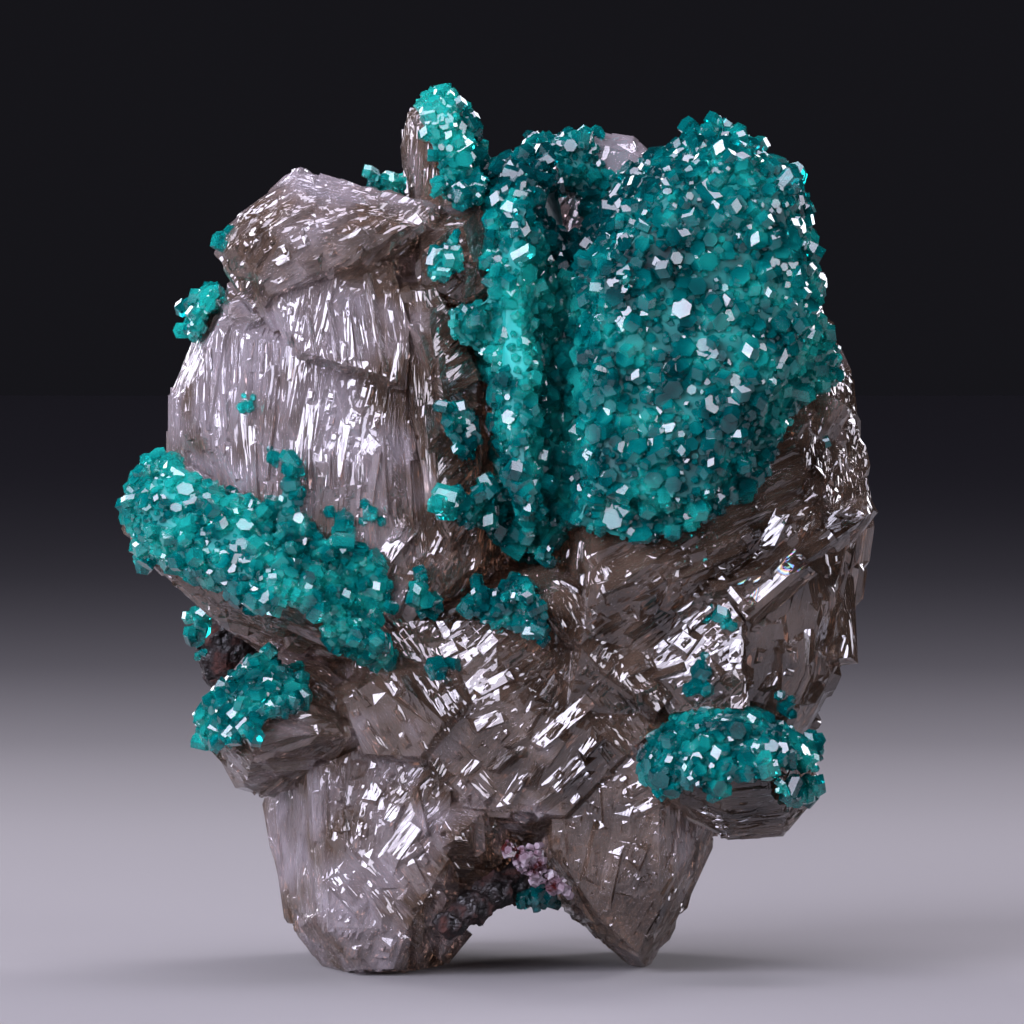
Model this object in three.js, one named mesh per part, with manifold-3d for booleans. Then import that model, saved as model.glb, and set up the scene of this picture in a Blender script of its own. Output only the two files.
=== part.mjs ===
// A cerussite specimen: twinned, striated cerussite blades grown together in one cluster, with crusts
// of small dioptase crystals on them and rusty gossan where the cluster grew on its rock.
// Millimetres, +Z up. The show side faces -Y. The origin is the middle of the specimen's footprint,
// on the surface that its two broken feet stand on.

import * as THREE from "three";
import { ConvexGeometry } from "three/addons/geometries/ConvexGeometry.js";
import { MeshSurfaceSampler } from "three/addons/math/MeshSurfaceSampler.js";
import { mergeVertices } from "three/addons/utils/BufferGeometryUtils.js";
import Module from "manifold-3d";

const wasm = await Module();
wasm.setup();
const { Manifold } = wasm;

// Driving dimensions
const SEAM = 0.3; // gap between a crust and the face that it grows on
const CRUST = 1.0; // thickness of a dioptase crust under its crystals
const DRUSE_CRYSTAL = 1.3; // radius of the crystals that stand out of a crust
const SAMPLES = 60000; // points tried as places for crystals all over the cluster
const SPOT_CRYSTAL = 0.62; // radius of a dioptase crystal that stands alone
const CRUST_ROOT = 0.55; // how deep a crust's crystals are rooted in it
const RIM_BITE = 1.3; // radius of the bites along a crust's rim
const RIM_SPACING = 4.4; // distance between those bites

// Places are [x, z] as seen on the show side, with a depth y where it is needed: a smaller depth is
// nearer the viewer.

// Each cerussite crystal is convex. Its outline is its widest section. `girdle` is [depth in the
// middle, depth gained per mm rightwards, and per mm upwards], and `bevel` says how fast the sides
// close in before and behind it. Each facet of `front` and `back` is [x, z, depth there, depth gained
// per mm rightwards, and per mm upwards].
const CRYSTALS = {
  leftBlade: {
    outline: [[-20.4, 35.3], [-17.5, 41.6], [-14.3, 43.7], [-6.5, 44.2], [0.1, 42.2], [2.9, 34.1],
      [2.9, 22.8], [-1.8, 17.8], [-11.2, 17.2], [-17.7, 21.6], [-20.5, 30.3]],
    girdle: [-2, 0.12, -0.1], bevel: [0.5, 0.4],
    front: [[-13, 34.1, -11, -0.45, 0], [-9.9, 34.1, -11.2, -0.03, 0.03],
      [-6.2, 34.1, -11, 0.36, 0], [-9.9, 40.9, -11, 0, 0.5], [-9.9, 25.3, -10.8, 0, -0.12]],
    back: [[-9.9, 34.1, 7, 0.05, 0]],
  },
  hood: {
    outline: [[-17, 43.9], [-16.4, 45.9], [-12.3, 49.2], [-3.8, 47.1], [-3.2, 45.1], [-5.8, 43.4],
      [-14.5, 40]],
    girdle: [-8.5, 0.05, 0.1], bevel: [0.35, 0.3],
    front: [[-10.5, 45.8, -13.4, 0.03, 0.6], [-10.5, 44.6, -13.7, 0.02, -0.32],
      [-14.8, 44.7, -12.6, -0.7, 0]],
    back: [[-10.5, 44.7, 3, 0.1, -0.3]],
  },
  pinnacle: {
    outline: [[-6, 50.9], [-5.7, 53.3], [-3.9, 54.4], [-2, 52.9], [0.1, 46.9], [0.6, 41.6],
      [-5, 41.6]],
    girdle: [0, 0.1, 0.1], bevel: [0.2, 0.25],
    front: [[-4.4, 50.3, -5, -0.9, 0], [-3.7, 50.3, -5.3, 0.16, 0.12], [-2.4, 53.6, -4.6, 0.1, 0.9]],
    back: [[-3, 50.3, 5, 0.1, -0.15], [-1.8, 50.3, 4.6, -0.7, 0]],
  },
  paleBlade: {
    outline: [[1.3, 50.3], [5.1, 52.2], [6.5, 52.4], [9, 51.7], [10, 50.7], [13.2, 41.6],
      [1.3, 39.7]],
    girdle: [4, 0, 0.1], bevel: [0.3, 0.3],
    front: [[6.3, 49.1, 1.6, 0, 0.12]],
    back: [[6.3, 47.8, 8.5, 0.1, -0.2]],
  },
  columnBlade: {
    outline: [[-0.2, 47.5], [0.7, 49.7], [2.6, 49.4], [4.2, 41.6], [4.8, 26.9], [2, 26.2],
      [-0.7, 35.3]],
    girdle: [-4, 0, 0.05], bevel: [0.3, 0.3],
    front: [[1.3, 38.4, -12, 0.02, 0.1], [0, 38.4, -11.3, -0.8, 0], [3, 38.4, -11.5, 0.9, 0]],
    back: [[1.3, 38.4, 4, 0, 0]],
  },
  druseBlade: {
    outline: [[4.3, 42.4], [8.8, 48.9], [13.6, 51.7], [18, 47.9], [20, 37.1], [16, 30.2],
      [12, 27.4], [4.2, 28.1]],
    girdle: [-3.5, 0.1, 0.12], bevel: [0.3, 0.45],
    front: [[9.5, 37.8, -13.2, 0.03, 0.02], [15.1, 37.8, -12.5, 0.42, 0.05],
      [12, 47.2, -12, 0.12, 0.5], [5.4, 35.3, -12.6, -0.55, 0]],
    back: [[11.3, 38.4, 5.5, 0.1, 0]],
  },
  rightBody: {
    outline: [[2.6, 34.1], [18.8, 39.7], [21.9, 36.8], [23.4, 28.3], [22.5, 23.4], [21.2, 18.6],
      [18.5, 13.9], [8.8, 10.3], [0.7, 12.2]],
    girdle: [-1, -0.1, 0.12], bevel: [0.35, 0.4],
    front: [[16.3, 30.9, -10, 0.08, 0.3], [15.1, 23.4, -11, 0.2, -0.1],
      [12.6, 15.3, -9.8, 0.1, -0.5], [21.5, 27.8, -7, 1.1, 0.1]],
    back: [[12, 25.3, 9, -0.1, 0.1]],
  },
  rightEdgeBlade: {
    outline: [[16.7, 49.1], [18.8, 45.6], [20.6, 40.6], [22.1, 36.6], [22.1, 33.4], [16.3, 32.8]],
    girdle: [2.5, 0.1, 0], bevel: [0.3, 0.3],
    front: [[18.8, 39.7, -2, 0.25, 0]],
    back: [[18.8, 39.7, 7, -0.2, 0]],
  },
  leftArm: {
    outline: [[-23.3, 28.8], [-22.1, 30.6], [-18.7, 31.1], [-9.9, 25.3], [-6, 21.6], [-6.7, 19.1],
      [-9.9, 19.4], [-17.7, 21.9], [-22.4, 26.2]],
    girdle: [-8, -0.1, 0], bevel: [0.35, 0.5],
    front: [[-14.9, 23.4, -15.2, 0.02, 0.72], [-14.9, 22.8, -15.3, 0.02, -0.7],
      [-21.7, 27.8, -12, -0.9, 0.1], [-9.2, 22.8, -14.8, 0.45, 0.2]],
    back: [[-14.9, 25.3, 4, 0.3, 0]],
  },
  lowerLobe: {
    outline: [[-18.4, 15.3], [-17.8, 17.2], [-14.8, 19.6], [-11, 18.9], [-4.9, 15.3], [-6.2, 12.8],
      [-14.4, 10.8], [-16.2, 11.3]],
    girdle: [-6, -0.1, 0], bevel: [0.35, 0.4],
    front: [[-14.6, 15.8, -13.2, 0, 0.62], [-14.3, 14.4, -13.2, 0, -0.75],
      [-16.9, 15.3, -12, -0.9, 0], [-9.6, 14.7, -12.6, 0.35, -0.1]],
    back: [[-14.3, 15.3, 5, 0.2, 0]],
  },
  centre: {
    outline: [[-10.8, 22.2], [-6.2, 26.6], [8.8, 27.8], [15.1, 22.8], [13.8, 12.8], [6.3, 7.2],
      [-3.7, 7.8], [-11.2, 14.1]],
    girdle: [-2, 0, 0.2], bevel: [0.4, 0.3],
    front: [[0.1, 16.9, -11.6, -0.14, 0.1], [0.1, 16.9, -11.6, 0.14, 0.12],
      [0.1, 16.9, -11.6, 0.02, -0.22]],
    back: [[0.1, 16.6, 9, 0, 0]],
  },
  upperMiddle: {
    outline: [[-6.3, 47.3], [-0.5, 48.1], [2, 41.6], [-1.2, 38.8], [-6.2, 40.9]],
    girdle: [-4, 0, 0], bevel: [0.3, 0.3],
    front: [[-3, 43.9, -11.2, 0.12, 0.35], [-3, 42.2, -11, 0.15, -0.1]],
    back: [[-3, 44.1, 4, 0, 0]],
  },
  leftFoot: {
    outline: [[-14.8, 12.5], [-6.2, 16.6], [1.5, 14.1], [0.8, 6.6], [-1, 3.8], [-2.6, -0.6],
      [-10.5, -0.6], [-12.5, 1.8], [-13.4, 3.8], [-14.3, 8.4]],
    girdle: [0, 0.1, 0.15], bevel: [0.25, 0.3],
    front: [[-12.4, 7.2, -9.4, -0.5, 0], [-9.3, 7.2, -10.3, 0.02, 0.03],
      [-3.7, 7.2, -10.3, 0.3, 0.05], [-8, 1.2, -9.4, 0, -0.55]],
    back: [[-7.4, 7.2, 10, 0.2, 0]],
  },
  chevronCrystal: {
    outline: [[-8.2, 8.3], [-1.8, 14.4], [1.6, 13.9], [3.2, 10.3], [1.8, 6.2], [-0.5, 4.2],
      [-4.3, 3.3], [-6.7, 5]],
    girdle: [-3, 0, 0], bevel: [0.4, 0.3],
    front: [[-3, 9.1, -12.2, 0.12, 0.08], [-3, 8.4, -12.2, -0.15, -0.2], [0.7, 9.1, -11.6, 0.6, 0]],
    back: [[-3, 8.4, 5, 0, 0]],
  },
  spike: {
    outline: [[2, 13.8], [6.3, 16.6], [11.3, 14.8], [13.7, 10.3], [13.5, 8.2], [12.2, 5.2],
      [10.7, 2.1], [9.2, -0.6], [8.3, -0.2], [3.8, 3.8], [2, 6.6]],
    girdle: [-1, 0.05, -0.12], bevel: [0.15, 0.2],
    front: [[9.8, 7.8, -10, -0.14, -0.1], [9.8, 7.8, -10, 0.85, -0.1], [8.8, 2.8, -8.4, 0, -0.55]],
    back: [[7.6, 9.1, 8, 0.1, 0], [8.8, 4.1, 6.4, 0, 0.5]],
  },
  panel: {
    outline: [[-14.4, 41.6], [-13.9, 43.6], [-6.3, 43.9], [-4.9, 39.7], [-5.5, 35.3], [-12.4, 37.4]],
    girdle: [-10, 0, 0], bevel: [0.2, 0.4],
    front: [[-9.9, 40.3, -12.4, 0.02, 0.3]],
    back: [[-9.9, 40.3, -6, 0, 0]],
  },
  darkBlade: {
    outline: [[-6.5, 42.6], [-3.7, 42.8], [-0.9, 36.6], [-1.2, 29.1], [-2.9, 25.3], [-4.3, 28.4],
      [-5.7, 35.3]],
    girdle: [-9, 0, 0], bevel: [0.25, 0.4],
    front: [[-4.4, 35.3, -12.3, 0.62, 0.02], [-4.9, 35.3, -12.1, -0.5, 0]],
    back: [[-3.7, 35.3, -5, 0, 0]],
  },
  foldBlade: {
    outline: [[9.5, 22.8], [13.3, 25.2], [22.7, 29.6], [23.4, 28.3], [22.1, 26.6], [15.5, 21.8],
      [12, 19.7]],
    girdle: [-7, 0.25, 0], bevel: [0.3, 0.5],
    front: [[17, 25.3, -11.9, 0.14, 0.3], [18.2, 24.4, -11.8, 0.2, -0.55]],
    back: [[16.3, 25.3, -2, 0, 0]],
  },
  thornBlade: {
    outline: [[6.3, 20.3], [8.8, 25.3], [13.3, 24.9], [15.6, 21.8], [15.7, 15.2], [10.1, 15.2],
      [7, 17.2]],
    girdle: [-8, 0, 0], bevel: [0.3, 0.4],
    front: [[14.5, 20.3, -12.6, -0.2, 0.14], [12, 17.2, -12.1, -0.15, -0.2]],
    back: [[12.6, 19.7, -2, 0, 0]],
  },
  lowRightBlade: {
    outline: [[15.4, 20.3], [18.8, 22.8], [21.2, 20.3], [21.1, 18.3], [18.6, 13.9], [15.5, 14.1]],
    girdle: [-5, 0.2, 0], bevel: [0.3, 0.5],
    front: [[17.3, 18.4, -11.3, 0.35, -0.12]],
    back: [[17.6, 18.4, 0, 0, 0]],
  },
  crossBlade: {
    outline: [[-1.8, 22.8], [3.1, 25.3], [8.8, 22.8], [12, 17.2], [8.8, 13.9], [6.3, 16.6],
      [1.3, 20.3]],
    girdle: [-8, 0, 0], bevel: [0.3, 0.4],
    front: [[5.7, 20.3, -12.7, 0.3, 0.22], [4.5, 19.7, -12.8, -0.25, -0.2]],
    back: [[5.7, 20.3, -4, 0, 0]],
  },
  slabBlade: {
    outline: [[-10.5, 17.2], [-6.2, 20.3], [-1.8, 20.3], [0.1, 16.6], [-3.7, 12.2], [-8.7, 12.8]],
    girdle: [-8, 0, 0], bevel: [0.3, 0.4],
    front: [[-4.9, 16.6, -12.5, 0.1, 0.35], [-6.2, 15.9, -12.3, -0.3, -0.2]],
    back: [[-4.9, 16.6, -4, 0, 0]],
  },
  rightLedge: {
    outline: [[8.5, 13.6], [10.2, 15.2], [15.1, 15.9], [18.8, 14.5], [19.5, 12.8], [19, 10.6],
      [17.4, 8.5], [14, 8.3], [9.8, 10.9]],
    girdle: [-9, 0.1, 0], bevel: [0.3, 0.45],
    front: [[13.8, 12.7, -15.9, 0.05, 0.85], [13.8, 11.9, -16, 0.05, -0.65],
      [9.6, 13.1, -14, -0.9, 0], [18, 12.8, -15.4, 0.8, 0]],
    back: [[13.8, 12.2, 2, -0.3, 0.2]],
  },
  backLeftBlade: {
    outline: [[-18.4, 33.4], [-15.5, 40.9], [-4.3, 45.8], [1.3, 40.3], [2, 20.3], [-6.2, 12.8],
      [-15.2, 17.2], [-18.3, 26.6]],
    girdle: [4, -0.12, 0.1], bevel: [0.3, 0.5],
    front: [[-9.3, 30.3, 0, 0, 0]],
    back: [[-10.5, 32.2, 13.4, 0.32, 0.05], [-6.2, 32.2, 13.6, -0.3, 0.08],
      [-9.9, 39.7, 12.6, 0, -0.5], [-9.9, 20.3, 12, 0, 0.45]],
  },
  backRightBlade: {
    outline: [[0.1, 30.3], [2, 44.1], [11.3, 48.3], [17.9, 43.9], [21.1, 35.3], [20.8, 25.3],
      [15.7, 16.6], [3.8, 15.9]],
    girdle: [5, 0.15, -0.1], bevel: [0.3, 0.5],
    front: [[11.3, 33.4, 0, 0, 0]],
    back: [[8.8, 33.4, 15.8, 0.3, 0.03], [12.6, 33.4, 15.9, -0.33, -0.05],
      [11.3, 43.4, 14.4, 0, -0.55], [11.3, 22.8, 14.6, 0, 0.5]],
  },
  backFoot: {
    outline: [[-13.4, 5.3], [-12.4, 15.3], [-4.9, 20.3], [3.8, 19.1], [4.5, 10.3], [-1, 3.8],
      [-2.9, -0.6], [-10.4, -0.6]],
    girdle: [4, 0.15, -0.12], bevel: [0.2, 0.35],
    front: [[-3, 10.3, -2, 0, 0]],
    back: [[-6.2, 10.3, 13.2, 0.2, 0.03], [-2.4, 10.3, 13.2, -0.45, 0.05]],
  },
  backSpike: {
    outline: [[3.1, 10.3], [4.5, 17.2], [12.6, 16.6], [13, 9.7], [9.2, -0.6], [8.3, -0.2], [5, 3.8]],
    girdle: [5, -0.1, 0.1], bevel: [0.1, 0.2],
    front: [[8.2, 10.3, 0, 0, 0]],
    back: [[7, 10.3, 11.6, 0.25, 0.1], [9.5, 10.3, 11.8, -0.5, 0.1]],
  },
};

// Bites that broke out of the cluster's edges: [x, z, depth, radius].
const CHIPS = [
  [23.3, 23.8, -4, 1.6], [23.1, 21.7, -3, 2.1], [22.5, 18.9, -2, 1.5], [24.1, 30.4, -6, 1.3],
  [-12.4, -0.2, -7, 2.0], [-7.9, -0.8, -9.5, 1.6], [-4.2, -0.9, -9, 1.5], [6.8, 0.7, -7.5, 1.3],
  [12.8, 3.9, -5, 1.2], [11.5, 0.9, -4, 1.2], [-18.3, 10.9, -9, 1.5], [6.3, 53.1, 3, 1.0],
  [-9.3, -0.7, 3, 1.6],
];

// Rows of growth ribs. The middles of the ribs run from `from` to `to`, each rib lies along `along`,
// and `height` is how far its crest stands out of the face.
const RIB_ROWS = [
  { from: [-18.9, 35.3], to: [-13.7, 36.6], along: [0.2, -7.5], count: 5, height: 0.28 },
  { from: [-12.4, 38.8], to: [-7.2, 39.7], along: [0.9, -5.0], count: 5, height: 0.32 },
  { from: [-6, 36.6], to: [-3.8, 37.1], along: [1.5, -9.4], count: 3, height: 0.36 },
  { from: [-3.2, 37.1], to: [-1.8, 34.7], along: [3.5, 2.0], count: 3, height: 0.34 },
  { from: [-11.3, 30.9], to: [-3.7, 30.3], along: [0.4, -6.9], count: 6, height: 0.3 },
  { from: [-13.3, 10], to: [-9.3, 10.3], along: [0.2, -4.4], count: 5, height: 0.26 },
  { from: [-4.6, 12.2], to: [-2.3, 7.2], along: [6.0, 4.6], count: 5, height: 0.32 },
  { from: [12.6, 25.3], to: [18.8, 30.9], along: [6.0, 2.6], count: 5, height: 0.34 },
  { from: [6.3, 21.6], to: [8.8, 17.8], along: [6.9, 3.1], count: 3, height: 0.3 },
  { from: [10.8, 7.2], to: [12.1, 7.2], along: [-0.5, -5.6], count: 2, height: 0.24 },
  { from: [-14.3, 46.9], to: [-7.4, 45.6], along: [2.5, 1.2], count: 4, height: 0.25 },
];
const RIB_ROOT = 0.45; // how deep a rib is sunk into its face
const RIB_FILL = 0.86; // share of the spacing that a rib takes

// Gossan, the rusty rock: each lump is [x, z, depth, radius].
const GOSSAN_LEFT = [
  [-17.8, 21.2, -2, 1.9], [-16.4, 20.3, -5, 1.9], [-17.9, 19.4, -3, 1.6], [-15.8, 18.8, -6, 1.9],
  [-16.9, 17.7, -4, 1.9], [-17.9, 16.9, -2, 1.5], [-17, 19.7, 2, 2.6], [-16.7, 18.4, 6, 2.6],
  [-16.4, 20.9, 6, 2.4],
];
const GOSSAN_BASE = [
  [-2.9, 3.2, -9.4, 1.3], [-1.5, 4.1, -8.6, 1.6], [-0.2, 5.1, -8, 1.6], [1.1, 5.7, -6, 1.9],
  [0.6, 5.6, -1, 2.3], [1.3, 5.8, 4, 2.4], [2.5, 6.1, 8, 2.0], [3.1, 5.1, -3, 1.8],
];
// Pale calcite in the hollow between the feet.
const CALCITE = [
  [0.6, 7.9, -11.2, 1.0], [1.6, 7.1, -10.4, 1.3], [2.8, 6.2, -9.6, 1.2], [4, 5.3, -9.2, 1.1],
  [2.3, 7.9, -10.6, 0.9],
];

// Dioptase crusts: an outline, the depths that it lies between, and how far apart its crystals stand.
const CRUSTS = {
  dioptase_main_druse: {
    depth: [-20, -1.5], spacing: 3.7,
    outline: [[-0.5, 48.1], [-0.4, 50.2], [1.2, 50.9], [3.2, 50.3], [4, 45.1], [5.3, 44.9],
      [9, 49.9], [12.8, 52.8], [15.3, 52.6], [18.7, 49.2], [19.9, 42.2], [19.1, 40.4], [21.2, 38.3],
      [21.3, 36.2], [18.8, 35.6], [16.5, 29.9], [12.7, 27.4], [8.8, 26.1], [4.2, 27.3], [2.9, 25.6],
      [0.8, 26.1], [-2.3, 27.2], [-3.5, 27.9], [-3, 29.8], [-1.4, 29.6], [0.3, 31.1], [0.1, 35.8],
      [-0.9, 37.4], [-3.3, 38.8], [-3.1, 40.7], [-0.9, 41.4], [-0.8, 44.9]],
  },
  dioptase_pinnacle_crust: {
    depth: [-9, -1.5], spacing: 3.0,
    outline: [[-5, 53.4], [-3.9, 54.6], [-2.7, 54.9], [-1.2, 54.1], [-0.3, 50.3], [-0.9, 47.8],
      [-2.3, 46.9], [-3.5, 48.1], [-4.7, 51.7]],
  },
  dioptase_back_crust: {
    depth: [-0.6, 6], spacing: 3.2,
    outline: [[1.2, 51.2], [2.2, 52.4], [3.6, 51.7], [5.8, 52.2], [8.5, 51.3], [8.8, 49.9],
      [6.6, 46.9], [5.1, 46.2], [3.8, 47.5], [3.3, 49.7]],
  },
  dioptase_left_band: {
    depth: [-20, -4], spacing: 3.1,
    outline: [[-22.8, 28.4], [-21.8, 31.2], [-20.2, 31.4], [-17.7, 29.6], [-15.8, 29.8],
      [-14.7, 29.1], [-13.4, 29.1], [-12.8, 31.3], [-11.7, 30.3], [-11.4, 27.8], [-9.5, 26.2],
      [-7.8, 26.3], [-6.3, 24.6], [-6.5, 22.4], [-7.7, 21.6], [-6.2, 20.2], [-6.9, 18.9],
      [-10.3, 20.3], [-11.3, 22.7], [-14.7, 22.8], [-19.5, 24.9], [-21.7, 25.3]],
  },
  dioptase_lower_left_crust: {
    depth: [-20, -3], spacing: 2.9,
    outline: [[-18.2, 16.2], [-17, 17.2], [-16, 18.4], [-14.7, 19.3], [-12.3, 18.2], [-11, 17.3],
      [-12, 16.3], [-15.2, 15.2], [-16.4, 14.2], [-17.8, 13.8], [-18.4, 14.8]],
  },
  dioptase_centre_crust: {
    depth: [-20, -9.5], spacing: 3.0,
    outline: [[-2.6, 22.7], [-1.7, 23.9], [0.1, 24.3], [1.5, 24.4], [2.6, 23.8], [3.2, 22.4],
      [3, 20.7], [1.7, 20.4], [0.5, 20.9], [-1.4, 21.3]],
  },
  dioptase_ledge_crust: {
    depth: [-20, -4], spacing: 2.9,
    outline: [[8.6, 13.6], [9.5, 14.8], [11.5, 15.6], [15.2, 15.8], [18.3, 14.4], [19.3, 13.8],
      [18.8, 13.1], [16.1, 13.1], [15, 13.3], [13.3, 11.3], [12, 11.9], [10.3, 11.2], [9.3, 12.3]],
  },
  dioptase_ledge_pair: {
    depth: [-20, -6], spacing: 2.6,
    outline: [[16.6, 12.2], [18, 12.3], [19, 11.8], [18.8, 10.4], [17.8, 10.5], [16.7, 11.1]],
  },
  dioptase_shoulder_crust: {
    depth: [-8.5, -2.5], spacing: 2.5,
    outline: [[-19.7, 39.2], [-19.3, 41.1], [-18.3, 42.2], [-17, 42.3], [-16.8, 41.6],
      [-17.7, 40.4], [-18.7, 38.8]],
  },
  dioptase_saddle_crust: {
    depth: [-6.5, -2], spacing: 2.3,
    outline: [[-8.2, 48], [-7.9, 49.1], [-7, 49.6], [-6.3, 49.3], [-6.3, 47.3]],
  },
  dioptase_upper_fringe: {
    depth: [-20, -4], spacing: 2.4,
    outline: [[-4.3, 43.3], [-3.7, 44.7], [-2.5, 45.1], [-1.9, 44.3], [-2, 42.8], [-2.9, 42.2],
      [-3.8, 42.2]],
  },
  dioptase_middle_fringe: {
    depth: [-20, -4], spacing: 2.4,
    outline: [[-3.3, 34.6], [-2.2, 35.5], [-1.2, 34.2], [-1.1, 32.1], [-1.8, 31.2], [-2.5, 32.1],
      [-3.2, 33.1]],
  },
  dioptase_small_knot: {
    depth: [-20, -4], spacing: 2.2,
    outline: [[-5.7, 23.3], [-5.4, 24.4], [-4.7, 24.6], [-4, 23.4], [-3.8, 22.3], [-4.7, 22],
      [-5.4, 22.4]],
  },
  dioptase_rear_crust: {
    depth: [4, 20], spacing: 3.4,
    outline: [[7.6, 41.6], [11.3, 43.4], [15.1, 41.6], [17, 37.2], [14.5, 33.4], [10.1, 32.2],
      [7, 35.3]],
  },
  dioptase_rear_patch: {
    depth: [4, 20], spacing: 3.2,
    outline: [[-10.5, 25.3], [-7.4, 27.2], [-3.7, 25.3], [-4.3, 21.6], [-8, 20.3], [-10.8, 22.2]],
  },
};

// Dioptase crystals that stand alone on the cerussite: [x, z, size against SPOT_CRYSTAL].
const SPOTS = [
  [-15.2, 34.8, 0.7], [-13.5, 31.6, 0.7], [-9.5, 27.8, 1.0], [-7.6, 28.2, 0.8], [-3.8, 18.9, 1.3],
  [13.5, 22.1, 0.8], [12.4, 18.6, 1.1], [17.4, 16.4, 0.7], [19.9, 32.6, 0.7], [-16.7, 44.6, 0.9],
  [-12.6, 18.6, 0.8],
];
// Dioptase on the left gossan and in the hollow: [x, z, depth, radius, tilt to the right, tilt up].
const GOSSAN_CRYSTALS = [
  [-18.7, 21.7, -3.6, 0.95, -0.5, 0.2], [-18.4, 20.6, -4.4, 0.95, -0.6, 0],
  [-17.7, 22.1, -4.4, 0.9, -0.1, 0.3], [-18.2, 19.6, -4.8, 0.85, -0.5, -0.1],
];
const HOLLOW_CRYSTALS = [
  [2.7, 5.1, -7.8, 1.15, 0.1, -0.2], [3.6, 4.2, -7.4, 0.9, 0.3, -0.3],
  [2, 4.5, -7.6, 0.8, -0.2, -0.4],
];

// A repeatable stream of numbers from 0 to 1.
function randomStream(seed) {
  let state = seed;
  return () => {
    state = (state + 0x6d2b79f5) | 0;
    let mixed = Math.imul(state ^ (state >>> 15), 1 | state);
    mixed = (mixed + Math.imul(mixed ^ (mixed >>> 7), 61 | mixed)) ^ mixed;
    return ((mixed ^ (mixed >>> 14)) >>> 0) / 4294967296;
  };
}

// Turns a closed geometry into a solid that can be joined and cut.
function solidOf(geometry) {
  const bare = geometry.index ? geometry.toNonIndexed() : geometry.clone();
  bare.deleteAttribute("normal");
  bare.deleteAttribute("uv");
  const merged = mergeVertices(bare, 1e-4);
  return new Manifold(new wasm.Mesh({
    numProp: 3,
    vertProperties: new Float32Array(merged.attributes.position.array),
    triVerts: new Uint32Array(merged.index.array),
  }));
}

// Turns a solid back into a geometry with flat faces.
function geometryOf(solid) {
  const { numProp, numVert, vertProperties, triVerts } = solid.getMesh();
  const positions = new Float32Array(numVert * 3);
  for (let i = 0; i < numVert; i++) {
    positions.set(vertProperties.subarray(i * numProp, i * numProp + 3), i * 3);
  }
  const indexed = new THREE.BufferGeometry();
  indexed.setAttribute("position", new THREE.BufferAttribute(positions, 3));
  indexed.setIndex(new THREE.BufferAttribute(new Uint32Array(triVerts), 1));
  const flat = indexed.toNonIndexed();
  flat.computeVertexNormals();
  return flat;
}

const convexSolid = (points) => solidOf(new ConvexGeometry(points));
const joined = (solids) => Manifold.union(solids);

// The half-spaces that bound a crystal, each with an outward normal and its distance.
function planesOf({ outline, girdle: [depth, right, rise], bevel, front, back }, random) {
  const points = outline.map(([x, z]) => new THREE.Vector3(x, 0, z));
  const middle = points.reduce((sum, p) => sum.add(p), new THREE.Vector3()).divideScalar(points.length);
  points.forEach((p) => p.setY(depth + right * (p.x - middle.x) + rise * (p.z - middle.z)));
  const planes = [];
  const add = (normal, point) => {
    normal.normalize();
    planes.push({ normal, distance: normal.dot(point) });
  };
  points.forEach((start, i) => {
    const end = points[(i + 1) % points.length];
    const edge = end.clone().sub(start);
    const outward = new THREE.Vector3(edge.z, 0, -edge.x).normalize();
    if (outward.dot(start.clone().sub(middle)) < 0) outward.negate();
    const vary = 0.5 + random();
    for (const run of [-1 / (bevel[0] * vary), 1 / (bevel[1] * (2 - vary))]) {
      const inward = outward.clone().multiplyScalar(-1).setY(run);
      const normal = edge.clone().cross(inward);
      if (normal.dot(outward) < 0) normal.negate();
      add(normal, start);
    }
  });
  for (const [x, z, y, slopeX, slopeZ] of front) {
    add(new THREE.Vector3(slopeX, -1, slopeZ), new THREE.Vector3(x, y, z));
  }
  for (const [x, z, y, slopeX, slopeZ] of back) {
    add(new THREE.Vector3(-slopeX, 1, -slopeZ), new THREE.Vector3(x, y, z));
  }
  add(new THREE.Vector3(0, 0, -1), new THREE.Vector3(0, 0, 0));
  return planes;
}

// The corners where three planes meet inside all the others, with each plane moved out by `grow`.
function cornersOf(planes, grow) {
  const corners = [];
  const found = new THREE.Vector3();
  const crossing = new THREE.Vector3();
  for (let i = 0; i < planes.length; i++) {
    for (let j = i + 1; j < planes.length; j++) {
      for (let k = j + 1; k < planes.length; k++) {
        const [a, b, c] = [planes[i], planes[j], planes[k]];
        const volume = a.normal.dot(crossing.crossVectors(b.normal, c.normal));
        if (Math.abs(volume) < 1e-6) continue;
        found.copy(crossing).multiplyScalar(a.distance + grow);
        found.addScaledVector(crossing.crossVectors(c.normal, a.normal), b.distance + grow);
        found.addScaledVector(crossing.crossVectors(a.normal, b.normal), c.distance + grow);
        found.divideScalar(volume);
        if (planes.every((p) => p.normal.dot(found) <= p.distance + grow + 1e-5)) {
          corners.push(found.clone());
        }
      }
    }
  }
  return corners;
}

const crystalRandom = randomStream(7);
const crystalPlanes = Object.values(CRYSTALS).map((crystal) => planesOf(crystal, crystalRandom));
const crystalCluster = (grow) => joined(crystalPlanes.map((p) => convexSolid(cornersOf(p, grow))));

// Turns a small solid about by its index and puts it on its place.
function turned(geometry, [x, z, y], index) {
  geometry.rotateX(index * 1.3).rotateZ(index * 2.1);
  geometry.translate(x, y, z);
  return solidOf(geometry);
}

function bite(place, index) {
  return turned(new THREE.OctahedronGeometry(place[3] * 1.25), place, index);
}

function lump(place, index, grow) {
  return turned(new THREE.IcosahedronGeometry(place[3] + grow), place, index);
}

const lumps = (list, grow = 0) => joined(list.map((place, index) => lump(place, index, grow)));

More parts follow.
